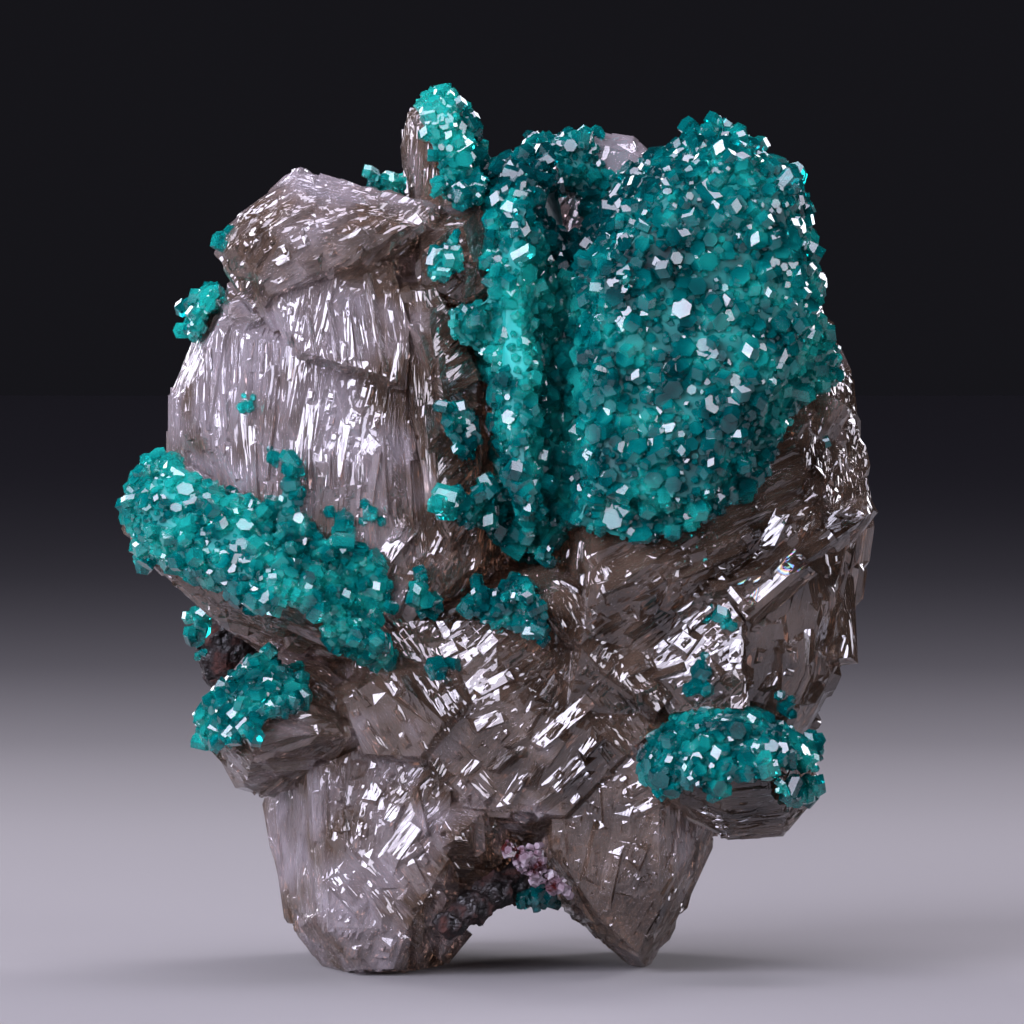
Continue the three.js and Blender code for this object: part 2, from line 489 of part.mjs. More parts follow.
// Finds the first face that a straight line meets on its way in from the show side.
function surfaceFinder(solid) {
  const mesh = new THREE.Mesh(geometryOf(solid));
  const caster = new THREE.Raycaster();
  return (x, z) => {
    caster.set(new THREE.Vector3(x, -100, z), new THREE.Vector3(0, 1, 0));
    const [hit] = caster.intersectObject(mesh);
    return hit && { point: hit.point, normal: hit.face.normal };
  };
}

// One rib: a low ridge with a crest, between two points of the face.
function rib(start, end, outward, halfWidth, height) {
  const sideways = end.clone().sub(start).cross(outward).setLength(halfWidth);
  const corners = [start, end].flatMap((point) => [
    point.clone().add(sideways).addScaledVector(outward, -RIB_ROOT),
    point.clone().sub(sideways).addScaledVector(outward, -RIB_ROOT),
    point.clone().addScaledVector(sideways, 0.3).addScaledVector(outward, height),
  ]);
  return convexSolid(corners);
}

function ribsOn(findSurface) {
  const ribs = [];
  for (const { from, to, along, count, height } of RIB_ROWS) {
    const spacing = Math.hypot(to[0] - from[0], to[1] - from[1]) / (count - 1);
    for (let i = 0; i < count; i++) {
      const share = i / (count - 1);
      const middle = [0, 1].map((k) => from[k] + (to[k] - from[k]) * share);
      const seat = findSurface(...middle);
      const onFace = (hit) => hit && hit.normal.dot(seat.normal) > 0.99;
      let half = along.map((length) => length / 2 * (0.8 + 0.2 * ((i * 2) % 3)));
      for (let shrink = 0; shrink < 12; shrink++) {
        const start = findSurface(middle[0] - half[0], middle[1] - half[1]);
        const end = findSurface(middle[0] + half[0], middle[1] + half[1]);
        if (onFace(start) && onFace(end)) {
          ribs.push(rib(start.point, end.point, seat.normal, spacing * RIB_FILL / 2, height));
          break;
        }
        half = half.map((length) => length * 0.85);
      }
    }
  }
  return ribs;
}

// A stubby dioptase crystal along +Z, whose three end faces reach down to the crust that it stands in.
function dioptaseCrystal(radius, root) {
  const points = [new THREE.Vector3(0, 0, radius * 0.75)];
  for (let i = 0; i < 3; i++) {
    const angle = i * Math.PI * 2 / 3;
    points.push(new THREE.Vector3(radius * Math.cos(angle), radius * Math.sin(angle), radius * 0.2));
    points.push(new THREE.Vector3(-radius * Math.cos(angle), -radius * Math.sin(angle), -root));
  }
  return new ConvexGeometry(points);
}

const Z_AXIS = new THREE.Vector3(0, 0, 1);

// Stands a crystal on a point, pointing along `outward` and turned about it by `spin`.
function planted(geometry, point, outward, spin) {
  geometry.rotateZ(spin);
  const lean = new THREE.Quaternion().setFromUnitVectors(Z_AXIS, outward.clone().normalize());
  geometry.applyQuaternion(lean);
  geometry.translate(point.x, point.y, point.z);
  return solidOf(geometry);
}

// Whether a point lies within an outline, as seen on the show side.
function insideOutline(outline, { x, z }) {
  let inside = false;
  outline.forEach(([x1, z1], i) => {
    const [x0, z0] = outline[(i + outline.length - 1) % outline.length];
    const crosses = (z1 > z) !== (z0 > z) && x < (x0 - x1) * (z - z1) / (z0 - z1) + x1;
    if (crosses) inside = !inside;
  });
  return inside;
}

// The wall of an outline, from the nearer depth to the further one.
function outlineColumn(outline, [near, far]) {
  const shape = new THREE.Shape(outline.map(([x, z]) => new THREE.Vector2(x, z)));
  const geometry = new THREE.ExtrudeGeometry(shape, { depth: far - near, bevelEnabled: false });
  geometry.rotateX(Math.PI / 2);
  geometry.translate(0, far, 0);
  return solidOf(geometry);
}

// The largest of a solid's separate bodies, so that loose crumbs at a crust's rim fall away.
function largestBody(solid) {
  return solid.decompose().reduce((best, body) => (body.volume() > best.volume() ? body : best));
}

// Points spread evenly over a solid's surface, in random order.
function surfacePoints(solid, count, random) {
  const sampler = new MeshSurfaceSampler(new THREE.Mesh(geometryOf(solid)));
  sampler.setRandomGenerator(random).build();
  return Array.from({ length: count }, () => {
    const point = new THREE.Vector3();
    const normal = new THREE.Vector3();
    sampler.sample(point, normal);
    return { point, normal };
  });
}

// Where the crystals stand on a crust: points inside its outline, no two nearer than its spacing.
function crystalSeats({ outline, depth: [near, far], spacing }, points, random) {
  const seats = [];
  for (const { point, normal } of points) {
    const outside = point.y < near || point.y > far || !insideOutline(outline, point);
    if (outside || seats.some((seat) => seat.point.distanceTo(point) < spacing)) continue;
    const lean = new THREE.Vector3(random() - 0.5, random() - 0.5, random() - 0.5);
    seats.push({
      point,
      outward: normal.clone().addScaledVector(lean, 0.7),
      radius: DRUSE_CRYSTAL * (0.62 + 0.5 * random()),
      spin: random() * Math.PI,
    });
  }
  return seats;
}

// Bites along the deeper rim of a crust, which make it end raggedly.
function rimBites({ outline, depth: [near, far] }, points) {
  const rim = Math.abs(near) > Math.abs(far) ? far : near;
  const bitten = [];
  for (const { point } of points) {
    const aside = Math.abs(point.y - rim) > 0.6 || !insideOutline(outline, point);
    if (aside || bitten.some((other) => other.distanceTo(point) < RIM_SPACING)) continue;
    bitten.push(point);
  }
  return bitten.map((point, index) => bite([point.x, point.z, point.y, RIM_BITE], index));
}

// A crust before it is cut to its host: a layer over the faces inside its outline, with crystals out
// of it. `grow` makes the crystals larger, for the space that the next crust has to keep clear of.
function crustBody({ outline, depth }, seats, bites, layer, grow = 0) {
  const crystals = seats.map(({ point, outward, radius, spin }) =>
    planted(dioptaseCrystal(radius + grow, CRUST_ROOT), point, outward, spin));
  const sheet = outlineColumn(outline, depth).intersect(layer);
  return joined([bites.length ? sheet.subtract(joined(bites)) : sheet, ...crystals]);
}

// Crystals on places of their own, grown together and cut to their hosts.
function crystalGroup(list, hosts) {
  const crystals = list.map(([x, z, y, radius, right, rise], index) => {
    const outward = new THREE.Vector3(right, -1, rise);
    return planted(dioptaseCrystal(radius, radius), new THREE.Vector3(x, y, z), outward, index);
  });
  return largestBody(joined(crystals).subtract(hosts));
}

const plainCluster = crystalCluster(0);
const findFace = surfaceFinder(plainCluster);
const bites = joined(CHIPS.map(bite));
const cluster = largestBody(joined([plainCluster, ...ribsOn(findFace)]).subtract(bites));
const seamCluster = joined([crystalCluster(SEAM), ...ribsOn(surfaceFinder(crystalCluster(SEAM)))]);

const gossanLeft = largestBody(lumps(GOSSAN_LEFT).subtract(seamCluster));
const gossanBase = largestBody(lumps(GOSSAN_BASE).subtract(seamCluster));
const gossanSeam = joined([lumps(GOSSAN_LEFT, SEAM * 1.4), lumps(GOSSAN_BASE, SEAM * 1.4)]);
const calcite = largestBody(lumps(CALCITE).subtract(joined([seamCluster, gossanSeam])));
const ground = joined([seamCluster, gossanSeam, lumps(CALCITE, SEAM * 1.4)]);
const crustLayer = crystalCluster(SEAM + CRUST);
const crustPoints = surfacePoints(crustLayer, SAMPLES, randomStream(3));

const MATERIALS = {
  cerussite: new THREE.MeshStandardMaterial({ color: 0x7d6f66, roughness: 0.12, metalness: 0 }),
  dioptase: new THREE.MeshStandardMaterial({ color: 0x0f8f86, roughness: 0.1, metalness: 0 }),
  gossan: new THREE.MeshStandardMaterial({ color: 0x3a1d16, roughness: 0.9, metalness: 0 }),
  calcite: new THREE.MeshStandardMaterial({ color: 0xcbb4bb, roughness: 0.45, metalness: 0 }),
};

const specimen = new THREE.Group();

function place(name, solid, material) {
  const mesh = new THREE.Mesh(geometryOf(solid), MATERIALS[material]);
  mesh.name = name;
  specimen.add(mesh);
}

place("cerussite_cluster", cluster, "cerussite");
place("gossan_left", gossanLeft, "gossan");
place("gossan_base", gossanBase, "gossan");
place("calcite_hollow", calcite, "calcite");

let taken = ground;
const crustRandom = randomStream(21);
for (const [name, entry] of Object.entries(CRUSTS)) {
  const seats = crystalSeats(entry, crustPoints, crustRandom);
  const bites = rimBites(entry, crustPoints);
  place(name, largestBody(crustBody(entry, seats, bites, crustLayer).subtract(taken)), "dioptase");
  taken = joined([taken, crustBody(entry, seats, bites, crustLayer, SEAM * 1.3)]);
}

SPOTS.forEach(([x, z, size], index) => {
  const { point, normal } = findFace(x, z);
  const lean = new THREE.Vector3(Math.sin(index * 2.4), 0, Math.cos(index * 2.4));
  const outward = normal.clone().addScaledVector(lean, 0.6);
  const radius = SPOT_CRYSTAL * size;
  const base = point.clone().addScaledVector(normal, SEAM + radius * 0.45);
  const crystal = planted(dioptaseCrystal(radius, radius), base, outward, index);
  place(`dioptase_crystal_${index + 1}`, largestBody(crystal.subtract(taken)), "dioptase");
});

place("dioptase_on_gossan", crystalGroup(GOSSAN_CRYSTALS, taken), "dioptase");
place("dioptase_in_hollow", crystalGroup(HOLLOW_CRYSTALS, taken), "dioptase");

export default specimen;
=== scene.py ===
"""A cerussite specimen: twinned smoky blades grown together, crusted with dioptase over rusty gossan.

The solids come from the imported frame. This script grows the fine relief on them: the striations and
etch steps of the cerussite, the small crystals of the dioptase and calcite crusts, and the rough
gossan.
"""

import math

import bpy
import numpy as np
from mathutils import Matrix, Vector
from mathutils.bvhtree import BVHTree
from mathutils.kdtree import KDTree


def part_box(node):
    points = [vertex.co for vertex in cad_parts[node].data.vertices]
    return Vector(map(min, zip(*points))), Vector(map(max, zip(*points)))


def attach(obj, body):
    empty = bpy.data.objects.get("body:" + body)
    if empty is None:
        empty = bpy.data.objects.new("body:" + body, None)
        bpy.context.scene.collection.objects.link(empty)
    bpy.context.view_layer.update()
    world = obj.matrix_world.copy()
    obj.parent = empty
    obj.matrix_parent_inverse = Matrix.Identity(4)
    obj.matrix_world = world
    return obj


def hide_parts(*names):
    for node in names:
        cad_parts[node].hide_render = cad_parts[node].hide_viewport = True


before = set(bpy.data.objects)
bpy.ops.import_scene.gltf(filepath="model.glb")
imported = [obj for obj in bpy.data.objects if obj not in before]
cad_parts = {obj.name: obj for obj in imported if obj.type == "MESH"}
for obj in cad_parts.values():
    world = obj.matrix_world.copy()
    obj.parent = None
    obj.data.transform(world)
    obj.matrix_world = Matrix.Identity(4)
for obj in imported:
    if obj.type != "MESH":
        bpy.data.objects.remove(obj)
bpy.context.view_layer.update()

MM = 0.001
SAME_CORNER = 0.0005  # corners of a solid that are nearer than this are one, mm
PLANE_KEYS = (60, 4)  # triangles of one plane agree to 1/60 in their normal and to 1/4 mm in place
rng = np.random.default_rng(41)

# The camera stands level in front of the specimen, as the photograph was taken.
CAMERA_AIM = (0.84 * MM, 0.0, 28.3 * MM)
CAMERA_DISTANCE = 356 * MM
CAMERA_LENS = 200.0
SENSOR = 36.0

# Relief of the cerussite, in millimetres. A lath is one growth ridge: it stands in a lane beside its
# neighbours, and its top is tilted so that it catches the light by itself. Each style: lane width,
# shortest and longest lath, lowest and highest crest, share of places filled.
STYLES = {
    "striated": (0.34, 1.4, 7.0, 0.05, 0.15, 0.95),
    "etched": (0.38, 0.5, 1.8, 0.04, 0.16, 0.9),
    "chevron": (0.6, 1.6, 4.6, 0.12, 0.34, 0.92),
    "stepped": (0.6, 0.9, 3.6, 0.06, 0.22, 0.88),
    "glassy": (0.7, 1.2, 4.0, 0.02, 0.12, 0.8),
    "frosted": (0.42, 0.4, 1.6, 0.02, 0.08, 0.9),
    "rugged": (0.5, 0.5, 1.9, 0.1, 0.36, 0.95),
    "coarse": (1.05, 1.6, 6.0, 0.05, 0.26, 0.85),
}
# Growth blades are larger ridges under the laths, which break up the broad faces. Each style: shortest
# and longest blade, narrowest and widest, lowest and highest crest.
BLADES = {
    "striated": (2.5, 9.0, 0.45, 1.3, 0.08, 0.3),
    "etched": (1.3, 3.4, 0.6, 1.5, 0.1, 0.4),
    "chevron": (2.0, 5.5, 0.7, 1.5, 0.2, 0.6),
    "stepped": (1.8, 5.5, 0.7, 2.2, 0.15, 0.7),
    "glassy": (2.0, 6.0, 1.0, 2.6, 0.1, 0.5),
    "frosted": (1.6, 4.5, 0.8, 2.2, 0.08, 0.3),
    "rugged": (1.2, 3.2, 0.6, 1.5, 0.2, 0.55),
    "coarse": (2.6, 8.0, 1.1, 3.0, 0.15, 0.75),
}
# Each style: how much shorter and how much wider its etch figures are than striations, how steep they
# are, and how deep the waves are that the etching left.
ETCH = {
    "striated": (1.0, 1.0, 1.0, 0.25), "etched": (2.2, 0.6, 1.3, 0.4), "chevron": (1.2, 0.9, 1.1, 0.2),
    "stepped": (1.6, 0.7, 1.2, 0.3), "glassy": (1.2, 0.45, 1.2, 0.35), "frosted": (2.6, 0.8, 1.0, 0.7),
    "rugged": (1.8, 0.6, 1.3, 0.5), "coarse": (1.1, 0.8, 1.2, 0.4),
}
FACE_AREA = 0.5  # smallest face that gets laths, mm2
FRONT_FACING = 0.25  # a normal whose y is less than this is on the show side
LINE_LEAST = 0.35  # a growth line with less than this share of itself in its face runs front to back
LATH_ROOT = 0.16  # depth of a lath's foot under its face
LATH_LIFT = 0.01  # keeps a lath's top out of the plane of its face
LATH_BEVEL = (0.3, 1.1)  # least and most slope at its ends, as shares of its width
LATH_FLANK = (0.06, 0.3)  # and at its sides
LATH_CLEAR = 1.02  # laths nearer than this many half widths are never joined in one go
LATH_FILL = 0.93  # share of the lane's width that a lath takes
LATH_GAP = 0.05  # between the ends of two laths
LANE_SIDES = (-0.49, 0.49)  # a lath needs the face under both sides of its lane, as shares of it
EDGE_SPACE = 0.06  # laths end this far from the edges of their face
FIRST_GAP = 0.4  # and the first one in a lane up to this much farther
SHORT_END = 0.35  # what is left of a lane under this length stays empty
FLATTER_SIDE = 0.35  # most height of a lath's low side, as a share of its crest
FACET_STEP = (17.3, 9.1)  # from one facet's piece of the etch pattern to the next
FACET_SEED = (310.0, 170.0, 230.0)  # turns a facet's place into the number of its piece

BLADE_SPACING = 1.45  # distance between the middles of growth blades
BLADE_PLACES, BLADES_MOST = 14000, 2400  # places that are tried, and blades
BLADE_ROOT = 0.7
BLADE_LIFT = 0.02
BLADE_LOW_SIDE = 0.3  # most height of a blade's low side, as a share of its crest
BLADE_OVERHANG = 0.3  # how far a blade's corners may leave the surface
BLADE_FITS = 6  # how often a blade that sticks out is made smaller, by these shares
BLADE_SHRINK = (0.78, 0.82, 0.85)  # of its length, width and crest
BLADE_TURN, STRIATED_TURN = 0.22, 0.08  # how much blades stray from their growth line, radians
CHEVRON_SHARE, CHEVRON_TURN = 0.4, 1.1  # share of chevron blades that cross the others, and the angle
FOOT_CLEAR = 1.5  # no blades this near the shelf
FOOT_TURN, FOOT_HEIGHT = -0.97, 0.2  # a face that looks down more, and lies lower, is the foot's end
COVER_START, COVER_REACH = 0.1, 1.6  # where a crust over the cerussite is looked for

# Where each style lies on the show side: place [x, z], lean of its growth lines from upright, style.
FRONT_ZONES = [
    (-18.6, 36.5, 3, "striated"), (-17.0, 31.5, -4, "striated"), (-11.5, 41.3, 9, "striated"),
    (-7.5, 39.5, -8, "striated"), (-12.5, 35.5, 6, "striated"), (-9.0, 34.5, 14, "etched"),
    (-10.0, 30.0, 4, "striated"), (-5.2, 36.0, 3, "striated"), (-4.8, 30.5, -6, "striated"),
    (-2.4, 37.6, 56, "chevron"), (-1.4, 34.2, -52, "chevron"), (-2.6, 31.0, 48, "chevron"),
    (-14.0, 46.8, 62, "frosted"), (-9.5, 45.6, 74, "frosted"), (-6.0, 45.0, 55, "stepped"),
    (-12.5, 43.4, 58, "rugged"), (-8.6, 43.2, 50, "rugged"), (-15.5, 43.4, 40, "rugged"),
    (-5.2, 51.0, 4, "striated"), (-20.0, 25.5, -62, "etched"), (-13.5, 22.0, -58, "stepped"),
    (-7.5, 20.5, -40, "etched"), (-3.5, 24.5, 30, "stepped"), (2.5, 23.0, -20, "etched"),
    (0.0, 18.5, 52, "etched"), (-5.0, 16.0, -30, "stepped"), (-15.0, 14.5, 70, "glassy"),
    (-13.0, 8.5, 4, "striated"), (-9.5, 10.5, 12, "etched"), (-7.0, 5.5, -40, "stepped"),
    (-4.5, 10.5, 40, "chevron"), (-1.5, 8.0, -48, "stepped"), (-9.5, 2.5, 20, "etched"),
    (3.5, 13.5, 42, "stepped"), (5.0, 18.5, 36, "etched"), (9.0, 21.0, 58, "stepped"),
    (8.0, 16.0, -35, "etched"), (6.0, 9.5, 8, "frosted"), (9.5, 7.0, 24, "frosted"),
    (11.5, 8.0, -8, "striated"), (15.5, 29.5, 62, "striated"), (13.0, 25.5, 55, "etched"),
    (18.5, 27.0, 48, "stepped"), (20.5, 34.5, 20, "etched"), (13.0, 20.5, 50, "etched"),
    (18.0, 20.5, 12, "glassy"), (21.5, 24.5, -10, "glassy"), (18.5, 16.5, 35, "stepped"),
    (14.0, 10.0, 82, "striated"), (10.0, 12.0, 60, "etched"), (6.0, 49.0, 20, "glassy"),
]
BACK_ZONES = [
    (-13.0, 36.0, 4, "coarse"), (-6.0, 40.0, -28, "coarse"), (-8.0, 30.0, 8, "coarse"),
    (-14.0, 25.0, 20, "coarse"), (-5.0, 22.0, 58, "coarse"), (-9.0, 14.0, -18, "coarse"),
    (-6.0, 5.0, 6, "coarse"), (6.0, 40.0, 10, "coarse"), (14.0, 38.0, -12, "coarse"),
    (9.0, 30.0, 4, "coarse"), (17.0, 28.0, 32, "coarse"), (12.0, 22.0, -48, "coarse"),
    (5.0, 18.0, 30, "coarse"), (8.0, 9.0, 12, "coarse"), (2.0, 46.0, 40, "coarse"),
]

# Clean facets that throw one bright flash, as seen from the front: place [x, z], lean, length, width.
# Each is turned so that it mirrors the largest soft box into the camera.
FLASHES = [
    (17.0, 23.8, 52, 5.0, 1.7), (14.6, 23.4, -42, 3.2, 0.6), (21.0, 21.8, -8, 5.5, 1.8),
    (17.0, 17.7, 80, 2.4, 1.1), (20.0, 34.0, 30, 3.4, 1.8), (-3.6, 1.8, 40, 2.4, 1.8),
    (-6.6, 9.4, 20, 1.6, 0.9), (-1.7, 12.3, 45, 1.8, 0.8), (-5.7, 6.9, 60, 2.0, 0.8),
]
FLASH_HEIGHT, FLASH_ROOT = 0.25, 1.6
FLASH_CLEAN, FLASH_NEAR = 0.9995, 0.95  # how well a face has to agree with their normal
RAINBOW = (17.0, 23.8, 2.6)  # the crack under the first one shows rainbow colours: place, reach
CRACK_WIDTHS = (0, 800)  # of that crack, nanometres

# How pale the cerussite is, from 0, dark smoky brown, to 1, nearly white: place [x, z, depth], value.
PALENESS = [
    (-17.0, 36.0, -9, 0.9), (-11.0, 41.0, -12, 1.1), (-9.0, 33.0, -11, 0.9), (-9.9, 48.1, -11, 1.3),
    (-15.0, 44.0, -13, 0.15), (-7.5, 43.5, -13, 0.2), (-17.0, 31.0, -10, 0.8), (-13.0, 35.0, -12, 0.85),
    # The 0 at 3.6, 46.9 is painted shade at the bottom of the hole there.
    (-7.5, 38.5, -12, 0.9), (3.6, 46.9, -6, 0.0), (8.2, 51.8, 3, 1.8), (-4.8, 36.0, -12, 0.12),
    (-1.5, 36.0, -10, 0.22), (-11.0, 46.0, -13, 0.5), (-5.0, 51.0, -4, 0.4), (-21.5, 26.0, -12, 0.3),
    (-15.0, 24.0, -14, 0.28), (-14.0, 14.5, -12, 0.45), (-12.5, 8.5, -9, 0.75), (-6.0, 8.0, -10, 0.62),
    (-8.0, 1.5, -9, 0.7), (9.0, 6.0, -9, 0.3), (12.0, 8.0, -7, 0.6), (0.0, 20.0, -11, 0.3),
    (5.0, 14.0, -11, 0.34), (16.0, 29.0, -11, 0.16), (12.0, 22.0, -12, 0.22), (14.0, 10.0, -14, 0.2),
    (19.0, 19.0, -9, 0.28), (21.0, 34.0, -4, 0.4), (6.5, 51.0, 5, 1.0), (0.0, 7.0, -9, 0.6),
    (-9.0, 30.0, 11, 0.35), (10.0, 30.0, 13, 0.3), (-6.0, 8.0, 10, 0.55), (8.0, 8.0, 9, 0.45),
]
TONE_REACH = 3.0  # how far each of these places is felt
OWN_TONE = 0.22  # how much the tone differs from crystal to crystal

# How light the dioptase is, from 0, dark blue-green, to 1, pale turquoise: place [x, z, depth], value.
GREENNESS = [
    (-3.5, 53.0, -8, 0.95), (-3.0, 48.0, -10, 0.75), (1.0, 45.0, -10, 1.0), (1.5, 39.0, -12, 1.0),
    # The -1.2 at 3.6, 46.9 is painted shade in the hole there.
    (2.0, 33.0, -12, 0.8), (2.0, 28.0, -12, 0.5), (3.6, 46.9, -6, -1.2),
    # The low values around x 7 to 12, z 36 to 42 are painted shade in the deep middle of the main druse.
    (7.5, 42.0, -11, 0.32), (7.0, 36.0, -12, 0.3),
    (11.5, 42.0, -11, 0.42), (11.5, 36.0, -12, 0.36), (16.0, 44.0, -9, 0.5), (14.0, 50.0, -9, 0.5),
    (19.0, 40.0, -7, 0.65), (16.0, 34.0, -11, 0.45), (10.0, 30.0, -12, 0.4), (6.0, 51.0, 0, 0.6),
    (-20.0, 33.0, -12, 0.8), (-14.0, 29.0, -14, 0.65), (-9.0, 26.0, -14, 0.6), (-9.0, 22.0, -13, 0.75),
    (0.0, 22.0, -13, 0.15), (-15.0, 17.0, -14, 0.5), (-19.0, 46.0, -9, 0.8), (14.0, 14.0, -14, 0.4),
    (-3.0, 43.5, -11, 0.55), (-1.0, 32.0, -12, 0.25), (10.0, 30.0, 12, 0.45), (-9.0, 30.0, 12, 0.45),
    (2.0, 4.5, -9, 0.1),
]

# Dioptase crystals, in millimetres: each crust's radii, how near they stand, and their number at most.
CRUST_STYLES = {
    "dioptase_main_druse": (0.2, 0.66, 0.44, 6000),
    "dioptase_left_band": (0.2, 0.62, 0.44, 2600),
    "dioptase_centre_crust": (0.2, 0.5, 0.4, 700),
    "calcite_hollow": (0.14, 0.42, 0.3, 900),
}
CRUST_STYLE = (0.2, 0.6, 0.44, 1200)
CRUST_PLACES = 30000  # places on a crust that are tried
CRYSTAL_STAND = 0.55  # the crystals stand out of the roots by about this much
CRYSTAL_LENGTHS = (0.8, 2.3)  # shortest and longest, as shares of the radius
CRYSTAL_ROOT = 0.9  # the part of a crystal that is sunk, as a share of the radius
CRYSTAL_LEAN = 0.33  # how much crystals stray from straight out
END_FALL = 0.78  # how far the end faces fall from the tip to the sides, as a share of the radius
ROOT_VOXEL, ROOT_THINNING = 0.3, 0.4
ROOT_SMOOTHING = (0.5, 5)
SEAM_SEARCH, SEAM_WIDTH = 0.9, 0.55  # the solids keep a seam between a crust and what it grows on
ROOT_SINK = 0.12  # the roots reach this far into it, and no crystal starts nearer to it
BURIED_SEARCH = 1.2
# Bare places in the crusts: node, place [x, z], radius, and how far the crust lies back there.
BARE = [
    ("dioptase_main_druse", 3.7, 46.9, 1.5, 3.2), ("dioptase_back_crust", 3.7, 46.9, 1.5, 3.2),
    ("dioptase_back_crust", 8.0, 51.8, 1.9, 2.4), ("dioptase_main_druse", 6.3, 47.6, 0.9, 1.6),
]
BARE_EDGE = 1.3  # the crust starts to fall at this share of a bare place's radius

# Lone knots of crystals, as shares of half the solid's size.
LONE_RADIUS, LONE_RADII = 0.72, (0.3, 0.5)  # of the largest crystal, and of the ones around it
LONE_COUNT = (3, 7)  # at least the first, and fewer than the second
LONE_ASIDE = (0.5, 0.9)  # how far the others stand from the middle
LONE_LENGTHS = (0.8, 1.5)  # and these as shares of the crystal's radius
LONE_ROOT = 0.8
LONE_LEAN = 0.3

# Rock: its grains of two sizes, each with its depth, in millimetres.
ROCK_VOXEL = 0.16
ROCK_GRAINS = ((1.1, 0.5), (1.1 * 0.4, 0.25))
GRAIN_MIDDLE = 0.25

# The pale floor, in metres: distance from the middle and height. It curves up far away.
FLOOR_PROFILE = [(0.0, 0.0), (0.2, 0.0), (0.3, 0.002), (0.4, 0.008), (0.5, 0.019), (0.6, 0.035),
                 (0.66, 0.049)]
FLOOR_DROP = 0.00002  # the floor lies this much under the foot
FLOOR_TURNS = 64
PAPER_PAINTED_FALLOFF = (0.12, 0.62)  # where the painted shade of the paper's light falloff starts and ends

# Soft boxes: name, place and size in millimetres, radiance, colour.
KEY_LIGHT = (-300, -290, 220)
SOFT_BOXES = [
    ("softbox_left", KEY_LIGHT, (300, 360), 11.5, "#ebe8ff"),
    ("softbox_near_left", (-120, -420, 170), (180, 220), 6.0, "#ebe8ff"),
    ("softbox_right", (330, -220, 140), (140, 240), 6.0, "#f2eeff"),
    ("softbox_top", (0, 20, 400), (300, 240), 6.0, "#eee8ff"),
    ("softbox_back_left", (-260, 270, 160), (160, 200), 8.0, "#f6f2ff"),
    ("softbox_back_right", (260, 260, 200), (160, 200), 8.0, "#f6f2ff"),
]
SOFT_BOX_AIM = 28  # height of the place that they face
ROOM_COLOUR, ROOM_STRENGTH = "#8c8a9c", 0.03
LIGHT_BOUNCES = 7


def linear(hex_colour):
    """An sRGB hex colour as the linear colour that a socket takes."""
    parts = [int(hex_colour[i:i + 2], 16) / 255 for i in (1, 3, 5)]
    return tuple(c / 12.92 if c <= 0.04045 else ((c + 0.055) / 1.055) ** 2.4 for c in parts) + (1.0,)


def add_node(tree, kind, values=None, **settings):
    """Adds a node with its settings, and fills its inputs with values or with other nodes' outputs."""
    made = tree.nodes.new(kind)
    for name, value in settings.items():
        setattr(made, name, value)
    for socket, value in (values or {}).items():
        if isinstance(value, bpy.types.NodeSocket):
            tree.links.new(value, made.inputs[socket])
        else:
            made.inputs[socket].default_value = value
    return made


def mesh_object(name, points, faces):
    mesh = bpy.data.meshes.new(name)
    mesh.from_pydata(np.asarray(points).tolist(), [], faces)
    mesh.update()
    made = bpy.data.objects.new(name, mesh)
    bpy.context.scene.collection.objects.link(made)
    return made


def apply_modifiers(piece):
    """Replaces the piece's mesh by what its modifiers make of it."""
    bpy.context.view_layer.update()
    shape = piece.evaluated_get(bpy.context.evaluated_depsgraph_get())
    mesh = bpy.data.meshes.new_from_object(shape)
    piece.modifiers.clear()
    piece.data = mesh


def hand_over(piece, node, materials):
    """Gives a piece its materials and lets it stand for its CAD node."""
    piece.data.materials.clear()
    for material in materials:
        piece.data.materials.append(material)
    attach(piece, "root")
    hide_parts(node)


def corners_of(mesh):
    points = np.zeros(len(mesh.vertices) * 3)
    mesh.vertices.foreach_get("co", points)
    return points.reshape(-1, 3)


def triangles_of(mesh):
    mesh.calc_loop_triangles()
    return np.array([triangle.vertices[:] for triangle in mesh.loop_triangles])


def node_shape(name):
    """A CAD node's corners and triangles, with the corners that faces share made one."""
    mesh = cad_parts[name].data
    points = corners_of(mesh)
    _, first, same = np.unique(np.round(points / (SAME_CORNER * MM)), axis=0, return_index=True,
                               return_inverse=True)
    triangles = same.ravel()[triangles_of(mesh)]
    whole = (triangles[:, 0] != triangles[:, 1]) & (triangles[:, 1] != triangles[:, 2])
    whole &= triangles[:, 0] != triangles[:, 2]
    return points[first], triangles[whole]


def search_tree(nodes):
    """A search tree over several CAD nodes' triangles."""
    points, triangles, count = [], [], 0
    for node in nodes:
        corners, faces = node_shape(node)
        points.append(corners)
        triangles.append(faces + count)
        count += len(corners)
    return BVHTree.FromPolygons(np.concatenate(points).tolist(), np.concatenate(triangles).tolist())


def triangle_normals(points, triangles):
    """The normals of triangles, and their areas."""
    corners = points[triangles]
    crossed = np.cross(corners[:, 1] - corners[:, 0], corners[:, 2] - corners[:, 0])
    lengths = np.linalg.norm(crossed, axis=1)
    return crossed / np.maximum(lengths, 1e-18)[:, None], lengths / 2


def flat_faces(points, triangles):
    """Groups the triangles that lie in one plane: a list of (normal, indices of the triangles)."""
    normals, areas = triangle_normals(points, triangles)
    depth = np.einsum("ij,ij->i", normals, points[triangles[:, 0]]) / MM
    keys = np.column_stack([normals * PLANE_KEYS[0], depth * PLANE_KEYS[1]])
    keys = np.round(keys).astype(int)
    groups = {}
    for index, key in enumerate(map(tuple, keys)):
        groups.setdefault(key, []).append(index)
    found = []
    for members in groups.values():
        members = np.array(members)
        if areas[members].sum() >= FACE_AREA * MM * MM:
            largest = members[np.argmax(areas[members])]
            found.append((normals[largest], members))
    return found


